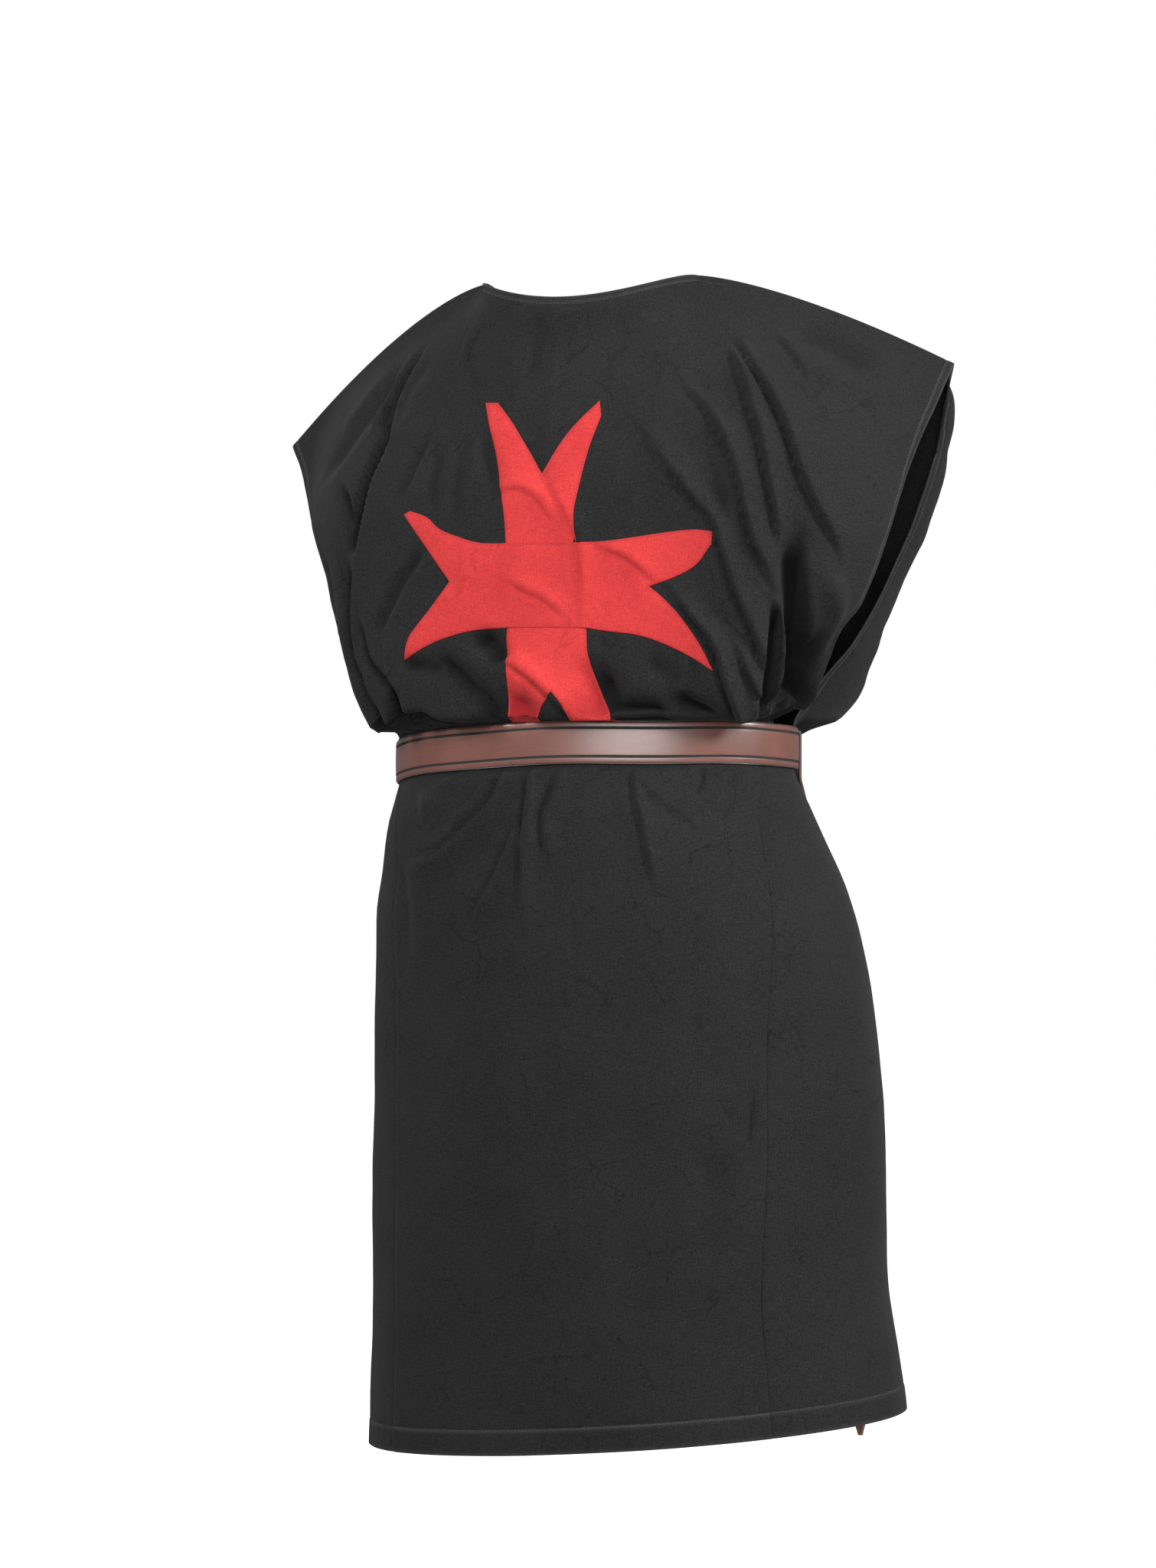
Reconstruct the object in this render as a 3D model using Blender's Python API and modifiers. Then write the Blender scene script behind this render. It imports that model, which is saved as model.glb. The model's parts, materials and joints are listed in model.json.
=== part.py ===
"""Medieval surcoat, worn and belted: two wide panels, two side gores, a sewn-on cross and a leather belt.

Metres, +Z up. The front faces -Y and the wearer's left is +X. The origin is the middle of the neck
opening, at the height where the cloth rests on the shoulders.
"""

import math
from typing import NamedTuple

import bmesh
import bpy
import numpy as np

# Driving sizes, in metres.
CLOTH = 0.0016
SEAM_GAP = 0.0003
NECK_HALF = 0.104
SHOULDER_HALF = 0.334
SHOULDER_FORWARD = 0.065
BELT_WIDTH = 0.039
LEATHER = 0.003
BELT_HALF = 0.192
BELT_DEPTH = 0.137
BELT_CENTRE = -0.004
BELT_DROP = 0.448
BELT_TILT_X = -0.040
BELT_TILT_Y = 0.075
APPLIQUE = 0.0010
CROSS_Z = -0.295
CROSS_X_MID = -0.008

BACK_COLUMNS = 34
FRONT_COLUMNS = 28
GORE_COLUMNS = 8
NECK_SHARE = 0.30
SHOULDER_BLEND = 0.20
SLIT_END = 0.560
SLIT_WIDTH = 0.012

# A shoulder's drop from the neck to its tip, and how its line bends.
SHOULDER_DROP = {+1: 0.143, -1: 0.084}
SHOULDER_BEND = 1.43
BACK_NECK = (0.075, 0.024)
FRONT_NECK = (0.085, 0.078)


class Upper(NamedTuple):
    """One level of a panel above the belt.

    drop and depth are for the centre line. Each side has its widest point (wide, wide_y) and its free
    edge (edge, edge_y), with the edge's own drop.
    """

    drop: float
    depth: float
    squareness: float
    left_wide: float
    left_wide_y: float
    left_edge: float
    left_edge_y: float
    left_drop: float
    right_wide: float
    right_wide_y: float
    right_edge: float
    right_edge_y: float
    right_drop: float


class Ring(NamedTuple):
    """One level of the skirt: an oval on a tilted plane, and the bearings of the four seams, in degrees."""

    drop: float
    centre: float
    half: float
    back: float
    front: float
    tilt_x: float
    tilt_y: float
    back_left: float
    back_right: float
    front_left: float
    front_right: float


UNDER_BELT = SEAM_GAP + CLOTH
WAIST_HALF = BELT_HALF - UNDER_BELT
WAIST_DEPTH = BELT_DEPTH - UNDER_BELT

# drop, depth, squareness | left: widest x, y, edge x, y, drop | right: the same
BACK_UPPER = [
    Upper(0.024, 0.075, 2.0, 0.334, -0.065, 0.334, -0.065, 0.143, 0.334, -0.065, 0.334, -0.065, 0.084),
    Upper(0.080, 0.103, 2.1, 0.317, -0.052, 0.317, -0.052, 0.175, 0.326, -0.034, 0.326, -0.034, 0.121),
    Upper(0.140, 0.124, 2.3, 0.298, -0.030, 0.298, -0.030, 0.219, 0.317, -0.004, 0.317, -0.004, 0.159),
    Upper(0.200, 0.137, 2.4, 0.274, -0.006, 0.274, -0.006, 0.257, 0.308, 0.026, 0.308, 0.026, 0.209),
    Upper(0.260, 0.144, 2.4, 0.259, 0.012, 0.259, 0.012, 0.306, 0.291, 0.052, 0.291, 0.052, 0.279),
    Upper(0.320, 0.149, 2.4, 0.247, 0.018, 0.247, 0.018, 0.345, 0.269, 0.058, 0.269, 0.058, 0.332),
    Upper(0.370, 0.156, 2.4, 0.230, 0.016, 0.230, 0.016, 0.385, 0.249, 0.056, 0.249, 0.056, 0.379),
    Upper(0.406, 0.159, 2.2, 0.211, 0.010, 0.211, 0.010, 0.420, 0.222, 0.034, 0.222, 0.034, 0.407),
]
FRONT_UPPER = [
    Upper(0.078, 0.085, 2.0, 0.334, -0.065, 0.334, -0.065, 0.143, 0.334, -0.065, 0.334, -0.065, 0.084),
    Upper(0.130, 0.110, 2.1, 0.318, -0.086, 0.314, -0.070, 0.185, 0.328, -0.098, 0.322, -0.072, 0.128),
    Upper(0.180, 0.129, 2.2, 0.296, -0.092, 0.290, -0.066, 0.230, 0.318, -0.108, 0.309, -0.076, 0.180),
    Upper(0.230, 0.140, 2.3, 0.272, -0.094, 0.264, -0.060, 0.270, 0.296, -0.116, 0.286, -0.082, 0.238),
    Upper(0.280, 0.147, 2.4, 0.258, -0.094, 0.246, -0.052, 0.315, 0.262, -0.120, 0.256, -0.076, 0.300),
    Upper(0.330, 0.154, 2.4, 0.246, -0.092, 0.230, -0.042, 0.354, 0.246, -0.116, 0.236, -0.058, 0.344),
    Upper(0.372, 0.166, 2.4, 0.232, -0.088, 0.212, -0.034, 0.390, 0.234, -0.108, 0.212, -0.042, 0.376),
    Upper(0.414, 0.168, 2.2, 0.214, -0.072, 0.200, -0.024, 0.418, 0.214, -0.088, 0.196, -0.030, 0.402),
]
# drop, centre, half width, back, front | tilt x, y | seam bearings
SKIRT = [
    Ring(0.424, BELT_CENTRE, WAIST_HALF, WAIST_DEPTH, WAIST_DEPTH, -0.040, 0.075, 76, 76, 84, 84),
    Ring(0.448, BELT_CENTRE, WAIST_HALF, WAIST_DEPTH, WAIST_DEPTH, -0.040, 0.075, 72, 73, 82, 82),
    Ring(0.470, BELT_CENTRE, WAIST_HALF, WAIST_DEPTH, WAIST_DEPTH, -0.040, 0.075, 68, 70, 79, 79),
    Ring(0.485, -0.005, 0.195, 0.140, 0.141, -0.042, 0.065, 62, 66, 76, 76),
    Ring(0.510, -0.007, 0.204, 0.147, 0.149, -0.046, 0.048, 57, 61, 72, 72),
    Ring(0.545, -0.012, 0.214, 0.152, 0.154, -0.052, 0.025, 53, 58, 67, 67),
    Ring(0.590, -0.018, 0.227, 0.155, 0.158, -0.058, 0.000, 52, 55, 63, 63),
    Ring(0.630, -0.024, 0.233, 0.156, 0.160, -0.062, -0.010, 52, 52, 61, 61),
    Ring(0.715, -0.030, 0.241, 0.157, 0.160, -0.068, -0.030, 51, 47, 58, 58),
    Ring(0.810, -0.034, 0.246, 0.157, 0.160, -0.074, -0.040, 51, 45, 57, 57),
    Ring(0.940, -0.035, 0.248, 0.158, 0.160, -0.082, -0.045, 51, 43, 56, 56),
    Ring(1.040, -0.040, 0.256, 0.160, 0.161, -0.088, -0.035, 51, 42, 55, 55),
    Ring(1.078, -0.042, 0.259, 0.161, 0.161, -0.090, -0.030, 51, 42, 55, 55),
]


class Fold(NamedTuple):
    """A soft trough, or a ridge where its height is above zero, along a bent line on a panel.

    Each point is (side, drop): the distance round from the panel's centre line, + to the wearer's
    left, and the height below the origin.
    """

    start: tuple
    bend: tuple
    end: tuple
    half_width: float
    height: float


BACK_FOLDS = [
    # from the shoulders down to the waist
    Fold((0.150, 0.030), (0.185, 0.120), (0.203, 0.240), 0.014, -0.010),
    Fold((0.235, 0.105), (0.255, 0.140), (0.290, 0.175), 0.016, -0.006),
    Fold((0.205, 0.215), (0.200, 0.310), (0.160, 0.415), 0.014, -0.012),
    Fold((0.236, 0.230), (0.232, 0.300), (0.200, 0.375), 0.014, 0.006),
    Fold((-0.130, 0.045), (-0.190, 0.130), (-0.250, 0.237), 0.014, -0.007),
    Fold((-0.069, 0.148), (-0.113, 0.188), (-0.170, 0.245), 0.013, -0.006),
    Fold((-0.143, 0.136), (-0.183, 0.205), (-0.212, 0.280), 0.013, -0.008),
    Fold((-0.179, 0.099), (-0.245, 0.180), (-0.287, 0.291), 0.016, -0.006),
    Fold((-0.238, 0.232), (-0.228, 0.330), (-0.200, 0.412), 0.015, -0.015),
    Fold((-0.268, 0.290), (-0.255, 0.350), (-0.222, 0.405), 0.014, 0.008),
    Fold((-0.188, 0.310), (-0.186, 0.360), (-0.172, 0.408), 0.013, 0.007),
    # gathers blousing over the belt
    Fold((0.128, 0.365), (0.105, 0.400), (0.080, 0.412), 0.013, -0.008),
    Fold((0.030, 0.350), (-0.010, 0.378), (-0.045, 0.408), 0.013, -0.006),
    Fold((-0.140, 0.340), (-0.140, 0.380), (-0.130, 0.412), 0.013, -0.008),
    # pleats that the belt gathers in the skirt, and the swag under its left end
    Fold((0.020, 0.460), (0.020, 0.520), (0.036, 0.610), 0.012, -0.007),
    Fold((-0.081, 0.460), (-0.084, 0.490), (-0.088, 0.525), 0.012, -0.005),
    Fold((-0.146, 0.460), (-0.150, 0.485), (-0.156, 0.510), 0.012, -0.005),
    Fold((0.047, 0.470), (0.090, 0.530), (0.185, 0.546), 0.014, -0.006),
    Fold((-0.172, 0.745), (-0.168, 0.775), (-0.165, 0.805), 0.012, -0.003),
]
FRONT_FOLDS = [
    Fold((0.150, 0.040), (0.180, 0.130), (0.190, 0.240), 0.015, -0.009),
    Fold((-0.140, 0.040), (-0.175, 0.130), (-0.200, 0.230), 0.015, -0.008),
    Fold((0.110, 0.120), (0.090, 0.220), (0.060, 0.320), 0.016, -0.006),
    Fold((-0.110, 0.110), (-0.085, 0.210), (-0.050, 0.300), 0.016, -0.006),
    Fold((0.000, 0.105), (0.010, 0.160), (0.005, 0.230), 0.018, -0.005),
    Fold((0.180, 0.300), (0.160, 0.370), (0.130, 0.415), 0.014, -0.010),
    Fold((-0.185, 0.290), (-0.170, 0.360), (-0.135, 0.410), 0.014, -0.011),
    Fold((0.090, 0.360), (0.080, 0.400), (0.070, 0.425), 0.013, -0.008),
    Fold((-0.070, 0.350), (-0.060, 0.395), (-0.050, 0.425), 0.013, -0.008),
    Fold((0.020, 0.370), (0.015, 0.400), (0.010, 0.425), 0.013, -0.006),
    Fold((0.030, 0.475), (0.035, 0.540), (0.045, 0.640), 0.013, -0.007),
    Fold((0.110, 0.475), (0.120, 0.520), (0.140, 0.580), 0.013, -0.006),
    Fold((-0.050, 0.475), (-0.055, 0.530), (-0.065, 0.600), 0.013, -0.006),
    Fold((0.060, 0.640), (0.070, 0.800), (0.060, 1.000), 0.028, 0.006),
]


class Arm(NamedTuple):
    """One swallow-tailed arm of the cross, from the cross's middle out to its two tips."""

    length: float
    neck_half: float
    tip_half: float
    notch: float
    lean: float
    blunt: float


CROSS_UP = Arm(0.172, 0.034, 0.057, 0.107, 0.017, 0.008)
CROSS_DOWN = Arm(0.1205, 0.038, 0.050, 0.098, -0.017, 0.033)
CROSS_LEFT = Arm(0.148, 0.041, 0.068, 0.098, 0.003, 0.009)
CROSS_RIGHT = Arm(0.157, 0.041, 0.066, 0.103, -0.016, 0.007)
ARM_STEPS = 7
ARM_FLARE = 2.3
# How much of the back the cross's pieces are cut from, and how far the bar stays lifted past the upright.
CROSS_BASE_HALF = (0.20, 0.185)
CROSS_OVERLAP = 0.040
CUT_FROM = 0.02
CUT_THROUGH = 0.20


class Hang(NamedTuple):
    """One level of the belt's hanging tail: its bearing from the centre front towards the wearer's
    right, in degrees, and how far its inner face lies outside the cloth's inner face."""

    drop: float
    bearing: float
    off: float


TAIL = [
    Hang(0.4276, 59, 0.0022),
    Hang(0.4276, 59, 0.0068),
    Hang(0.4288, 59, 0.0086),
    Hang(0.4315, 59, 0.0090),
    Hang(0.4480, 59, 0.0090),
    Hang(0.4690, 59, 0.0090),
    Hang(0.4850, 58, 0.0070),
    Hang(0.5100, 57, 0.0034),
    Hang(0.5450, 55, 0.0028),
    Hang(0.5900, 53, 0.0028),
    Hang(0.6300, 51, 0.0028),
    Hang(0.7150, 48, 0.0028),
    Hang(0.8100, 46, 0.0028),
    Hang(0.9400, 45, 0.0034),
    Hang(1.0780, 45, 0.0034),
    Hang(1.1170, 45, 0.0034),
]
TAIL_TIP = 0.060
TAIL_BLUNT = 0.06
TAIL_ROUND = 0.65
HOOK_STEPS = [0, 0.5, 1, 1.5, 2, 3, 4, 5, 6, 7]
TAIL_LEVELS = [0.53, 0.57, 0.61, 0.66, 0.71, 0.76, 0.81, 0.87, 0.93, 0.99, 1.03, 1.06, 1.08, 1.10, 1.117]
TAIL_COLUMNS = 4

# The buckle's and the tongue's places, as bearings in degrees from the centre front.
FRONT_RADIUS = 0.240
TONGUE_START = 15.8
TONGUE_END = 58
TONGUE_STEPS = 26
BUCKLE_BEARING = 19
BUCKLE_HALF = (0.019, 0.0245)
BUCKLE_WIRE = 0.0020
BUCKLE_CORNER = 0.008
CORNER_STEPS = 4
BAR_REACH = 3.0
BAR_CLEAR = 0.0010
PRONG_WIRE = 0.0014
PRONG_STEPS = 7
PRONG_PAST = 1.0
PRONG_OVER_TONGUE = 0.8
KEEPER_BEARING = 38
KEEPER_WIDTH = 0.012
KEEPER_WALL = 0.0018

# Levels of the loops of faces, in metres below the origin on the belt's plane.
CHEST_LEVELS = [0.024 * step for step in range(1, 17)]
BELT_LEVELS = [0.398, 0.408, 0.414, 0.419, 0.424, 0.448, 0.470, 0.485]
SKIRT_LEVELS = [0.510, 0.535, 0.560, 0.590, 0.630, 0.675, 0.720, 0.770, 0.820, 0.870, 0.920, 0.970]
SKIRT_LEVELS += [1.020, 1.078]
GORE_TOP = 0.448
HEAD_LEVELS = 3
HEAD_STEP = 0.012
HEAD_GAP = 0.030
FINE = 48
EDGE_EASE = 1.6
SHOULDER_SWEEP = 1.2
SOFTEN_RATE = 1.6
TIP_FIRM = 0.20
FOLD_STEPS = 24
FOLD_END = 0.08
FOLD_TAPER = 0.7
FOLD_FADE = 0.012
TOP_FADE = 0.050
BELT_CLEAR = 0.0075
BELT_STEPS = 96


def spread(points: np.ndarray, count: int) -> np.ndarray:
    """The same path with count steps of equal length."""
    length = np.concatenate([[0], np.cumsum(np.linalg.norm(np.diff(points, axis=0), axis=1))])
    wanted = np.linspace(0, length[-1], count + 1)
    return np.stack([np.interp(wanted, length, points[:, axis]) for axis in range(3)], axis=1)


def upper_half(row: Upper, facing: int, side: int, steps: int) -> np.ndarray:
    """Half of a level above the belt, from the centre line out to the free edge."""
    name = "left" if side > 0 else "right"
    wide, wide_y, edge, edge_y, edge_drop = (
        getattr(row, name + end) for end in ("_wide", "_wide_y", "_edge", "_edge_y", "_drop")
    )
    turn = np.linspace(0, math.pi / 2, FINE)
    power = 2 / row.squareness
    x = wide * np.sin(turn) ** power
    y = wide_y + (facing * row.depth - wide_y) * np.abs(np.cos(turn)) ** power
    wrap = np.linspace(0, 1, FINE)[1:]
    x = np.concatenate([x, wide - (wide - edge) * wrap**2])
    y = np.concatenate([y, wide_y + (edge_y - wide_y) * wrap])
    points = spread(np.stack([side * x, y, 0 * x], axis=1), steps)
    share = np.linspace(0, 1, steps + 1) ** EDGE_EASE
    points[:, 2] = -row.drop - (edge_drop - row.drop) * share
    return points


def ring_point(row: Ring, bearing: np.ndarray) -> np.ndarray:
    """Points of a skirt level. Bearings are in radians from the centre back, + to the wearer's left."""
    x = row.centre + row.half * np.sin(bearing)
    deep = np.where(np.cos(bearing) > 0, row.back, row.front)
    y = deep * np.cos(bearing)
    return np.stack([x, y, -row.drop + row.tilt_x * x + row.tilt_y * y], axis=1)


def ring_half(row: Ring, facing: int, side: int, steps: int) -> np.ndarray:
    """Half of a panel's level in the skirt, from the centre line out to the seam."""
    name = ("back" if facing > 0 else "front") + ("_left" if side > 0 else "_right")
    reach = math.radians(getattr(row, name))
    start = 0 if facing > 0 else math.pi
    return spread(ring_point(row, side * (start + facing * np.linspace(0, reach, 2 * FINE))), steps)


def whole_level(half, row, facing: int, columns: int) -> np.ndarray:
    """A panel's level, from the wearer's right to the wearer's left."""
    right = half(row, facing, -1, columns // 2)
    left = half(row, facing, +1, columns // 2)
    return np.concatenate([right[::-1], left[1:]])


def loft(sections: np.ndarray, at: np.ndarray, levels: np.ndarray) -> np.ndarray:
    """A smooth surface through sections, read at the wanted levels, with no overshoot between them."""
    step = np.diff(at)[:, None, None]
    slope = np.diff(sections, axis=0) / step
    same = slope[:-1] * slope[1:] > 0
    inner = np.where(same, 2 * slope[:-1] * slope[1:], 0) / np.where(same, slope[:-1] + slope[1:], 1)
    lean = np.concatenate([slope[:1], inner, slope[-1:]])
    cell = np.clip(np.searchsorted(at, levels, side="right") - 1, 0, len(at) - 2)
    t = ((levels - at[cell]) / np.diff(at)[cell])[:, None, None]
    return (
        sections[cell] * (1 + 2 * t) * (1 - t) ** 2
        + lean[cell] * step[cell] * t * (1 - t) ** 2
        + sections[cell + 1] * t * t * (3 - 2 * t)
        + lean[cell + 1] * step[cell] * t * t * (t - 1)
    )


def top_edge(facing: int, columns: int) -> np.ndarray:
    """The neckline and both shoulder seams, from the wearer's right tip to the left."""
    depth, dip = BACK_NECK if facing > 0 else FRONT_NECK
    points = []
    for share in np.linspace(-1, 1, columns + 1):
        side = 1 if share > 0 else -1
        if abs(share) < NECK_SHARE:
            turn = share / NECK_SHARE * math.pi / 2
            y = facing * depth * math.cos(turn)
            points.append((NECK_HALF * math.sin(turn), y, -dip * math.cos(turn) ** 2))
            continue
        out = (abs(share) - NECK_SHARE) / (1 - NECK_SHARE)
        x = NECK_HALF + (SHOULDER_HALF - NECK_HALF) * out
        y = -SHOULDER_FORWARD * out**SHOULDER_SWEEP + facing * SEAM_GAP / 2
        points.append((side * x, y, -SHOULDER_DROP[side] * out**SHOULDER_BEND))
    return np.array(points)


def softened(offset: np.ndarray, below: np.ndarray) -> np.ndarray:
    """The top edge's offset at each level, smoother along the level the further it lies below."""
    rows = []
    share = np.linspace(0, 1, len(offset))
    for distance in below:
        near_tip = np.clip(np.minimum(share, 1 - share) / TIP_FIRM, 0, 1)
        reach = SOFTEN_RATE * distance / (2 * SHOULDER_HALF) * near_tip[:, None] + 1e-4
        weight = np.exp(-(((share[:, None] - share) / reach) ** 2))
        rows.append(weight @ offset / weight.sum(axis=1, keepdims=True))
    return np.array(rows)


def bend_height(folds: list, side: np.ndarray, drop: np.ndarray) -> np.ndarray:
    """How far the folds move each point out, + outwards."""
    height = np.zeros_like(side)
    for fold in folds:
        start, bend, end = (np.array(point) for point in (fold.start, fold.bend, fold.end))
        nearest = np.full(side.shape, 1e9)
        along = np.zeros_like(side)
        for t in np.linspace(0, 1, FOLD_STEPS + 1):
            spot = start * (1 - t) ** 2 + 2 * bend * t * (1 - t) + end * t * t
            away = (side - spot[0]) ** 2 + (drop - spot[1]) ** 2
            along = np.where(away < nearest, t, along)
            nearest = np.minimum(nearest, away)
        taper = np.sin((FOLD_END + (1 - 2 * FOLD_END) * along) * math.pi) ** FOLD_TAPER
        height += fold.height * taper * np.exp(-nearest / fold.half_width**2)
    return height


def folded(points: np.ndarray, facing: int, folds: list, side: np.ndarray, below: np.ndarray) -> np.ndarray:
    """A grid with its folds, which start below its top edge and which the belt presses flat."""
    level = -points[:, :, 2] + BELT_TILT_X * points[:, :, 0] + BELT_TILT_Y * points[:, :, 1]
    free = np.clip((np.abs(level - BELT_DROP) - BELT_WIDTH / 2 - BELT_CLEAR) / FOLD_FADE, 0, 1)
    free *= np.clip(below / TOP_FADE, 0, 1)[:, None]
    height = bend_height(folds, side, -points[:, :, 2]) * free * free * (3 - 2 * free)
    return points + outward(points, facing) * height[:, :, None]


def outward(points: np.ndarray, facing: int) -> np.ndarray:
    """Unit normals of a grid of points, out of the garment."""
    across = np.gradient(points, axis=1)
    down = np.gradient(points, axis=0)
    normal = np.cross(across, down) * facing
    return normal / np.linalg.norm(normal, axis=2, keepdims=True)


def sides_of(points: np.ndarray) -> np.ndarray:
    """Distance of each point round its own level from the centre line."""
    step = np.linalg.norm(np.diff(points, axis=1), axis=2)
    run = np.concatenate([np.zeros((len(points), 1)), np.cumsum(step, axis=1)], axis=1)
    return run - run[:, [run.shape[1] // 2]]


def panel_points(facing: int, columns: int, levels: list) -> np.ndarray:
    """The inner face of the back (facing +1) or the front (facing -1), as a grid from top to hem."""
    table, folds = (BACK_UPPER, BACK_FOLDS) if facing > 0 else (FRONT_UPPER, FRONT_FOLDS)
    at = [row.drop + BELT_TILT_Y * facing * row.depth for row in table] + [row.drop for row in SKIRT]
    sections = [whole_level(upper_half, row, facing, columns) for row in table]
    sections += [whole_level(ring_half, row, facing, columns) for row in SKIRT]
    head = [at[0] + HEAD_STEP * step for step in range(HEAD_LEVELS)]
    levels = np.array(head + [level for level in levels if level > at[0] + HEAD_GAP])
    points = loft(np.array(sections), np.array(at), levels)
    blend = np.clip(1 - (levels - at[0]) / SHOULDER_BLEND, 0, 1)
    blend = (blend**2 * (3 - 2 * blend))[:, None, None]
    points += blend * softened(top_edge(facing, columns) - points[0], levels - at[0])
    return folded(points, facing, folds, sides_of(points), levels - at[0])


def gore_points(side: int, levels: list) -> np.ndarray:
    """The inner face of a side gore, from its back seam to its front one."""
    name = "_left" if side > 0 else "_right"
    sections = []
    starts = []
    for row in SKIRT:
        gap = SEAM_GAP / row.half
        first = math.radians(getattr(row, "back" + name)) + gap
        last = math.pi - math.radians(getattr(row, "front" + name)) - gap
        through = np.clip((row.drop - GORE_TOP) / (SLIT_END - GORE_TOP), 0, 1)
        last -= SLIT_WIDTH / row.half * math.sin(through * math.pi)
        sections.append(spread(ring_point(row, side * np.linspace(first, last, FINE)), GORE_COLUMNS))
        lead = ring_point(row, side * np.linspace(0, first, FINE))
        starts.append(np.linalg.norm(np.diff(lead, axis=0), axis=1).sum())
    at = np.array([row.drop for row in SKIRT])
    levels = np.array([GORE_TOP] + [level for level in levels if level > GORE_TOP])
    points = loft(np.array(sections), at, levels)
    run = sides_of(points)
    start = np.interp(levels, at, starts)[:, None]
    return folded(points, side, BACK_FOLDS, side * (run - run[:, :1] + start), levels)


def add_object(name: str, mesh: bpy.types.Mesh, material: bpy.types.Material) -> bpy.types.Object:
    """Link a mesh as a named piece of the surcoat."""
    mesh.materials.append(material)
    piece = bpy.data.objects.new(name, mesh)
    bpy.data.collections["surcoat"].objects.link(piece)
    return piece


def grid_mesh(name: str, points: np.ndarray) -> bpy.types.Mesh:
    """A triangulated sheet through a grid of points."""
    rows, columns = points.shape[:2]
    mesh = bpy.data.meshes.new(name)
    bm = bmesh.new()
    bmesh.ops.create_grid(bm, x_segments=columns - 1, y_segments=rows - 1, size=1)
    bm.verts.ensure_lookup_table()
    for vertex, place in zip(bm.verts, points.reshape(-1, 3)):
        vertex.co = place
    bmesh.ops.triangulate(bm, faces=bm.faces[:])
    bm.to_mesh(mesh)
    bm.free()
    return mesh


def thicken(piece: bpy.types.Object, thickness: float) -> None:
    """Give a sheet its wall, on its outer side."""
    wall = piece.modifiers.new("Wall", "SOLIDIFY")
    wall.thickness = thickness
    wall.offset = 1
    wall.use_even_offset = False


def material(name: str, colour: tuple, roughness: float, metallic: float = 0.0) -> bpy.types.Material:
    """A plain finish."""
    made = bpy.data.materials.new(name)
    made.use_nodes = True
    shader = made.node_tree.nodes["Principled BSDF"]
    shader.inputs["Base Color"].default_value = (*colour, 1)
    shader.inputs["Roughness"].default_value = roughness
    shader.inputs["Metallic"].default_value = metallic
    return made


def make_cloth(cotton: bpy.types.Material) -> None:
    """The two panels and the two gores."""
    levels = CHEST_LEVELS + BELT_LEVELS + SKIRT_LEVELS
    sheets = {
        "back_panel": panel_points(+1, BACK_COLUMNS, levels),
        "front_panel": panel_points(-1, FRONT_COLUMNS, levels)[:, ::-1],
        "gore_left": gore_points(+1, BELT_LEVELS + SKIRT_LEVELS),
        "gore_right": gore_points(-1, BELT_LEVELS + SKIRT_LEVELS)[:, ::-1],
    }
    for name, points in sheets.items():
        thicken(add_object(name, grid_mesh(name, points), cotton), CLOTH)


def arm_outline(arm: Arm) -> list:
    """(out, across) along one arm's edge: up one side, round both tips and the notch, and back."""
    side = []
    for step in range(ARM_STEPS + 1):
        share = step / ARM_STEPS
        half = arm.neck_half + (arm.tip_half - arm.neck_half) * share**ARM_FLARE
        side.append((arm.length * share, half))
    start = arm.neck_half / arm.length
    side = [(out, half) for out, half in side if out / arm.length > start]
    inner = arm.tip_half - arm.blunt
    tail = [(arm.length, inner), (arm.notch, 0), (arm.length, -inner)]
    points = side + tail + [(out, -half) for out, half in reversed(side)]
    return [(out, across + arm.lean * out / arm.length) for out, across in points]


def cutter(name: str, outline: list) -> bpy.types.Object:
    """A prism through the cloth of the back, from an outline in X and Z."""
    bm = bmesh.new()
    face = bm.faces.new([bm.verts.new((x, CUT_FROM, z)) for x, z in outline])
    moved = bmesh.ops.extrude_face_region(bm, geom=[face])["geom"]
    far = [item for item in moved if isinstance(item, bmesh.types.BMVert)]
    bmesh.ops.translate(bm, vec=(0, CUT_THROUGH, 0), verts=far)
    bmesh.ops.recalc_face_normals(bm, faces=bm.faces[:])
    mesh = bpy.data.meshes.new(name)
    bm.to_mesh(mesh)
    bm.free()
    made = bpy.data.objects.new(name, mesh)
    bpy.data.collections["cutters"].objects.link(made)
    made.hide_render = True
    made.display_type = "WIRE"
    return made


def applique(
    name: str, base: np.ndarray, lift: np.ndarray, outline: list, red: bpy.types.Material
) -> None:
    """A flat piece sewn on the back: the back's own faces, moved out, cut to an outline."""
    mesh = grid_mesh(name, base)
    normals = np.array([vertex.normal for vertex in mesh.vertices])
    for vertex, normal, rise in zip(mesh.vertices, normals, lift.reshape(-1)):
        vertex.co = np.array(vertex.co) + normal * (CLOTH + rise)
    piece = add_object(name, mesh, red)
    thicken(piece, APPLIQUE)
    cut = piece.modifiers.new("Outline", "BOOLEAN")
    cut.operation = "INTERSECT"
    cut.object = cutter(name + "_outline", outline)


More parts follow.
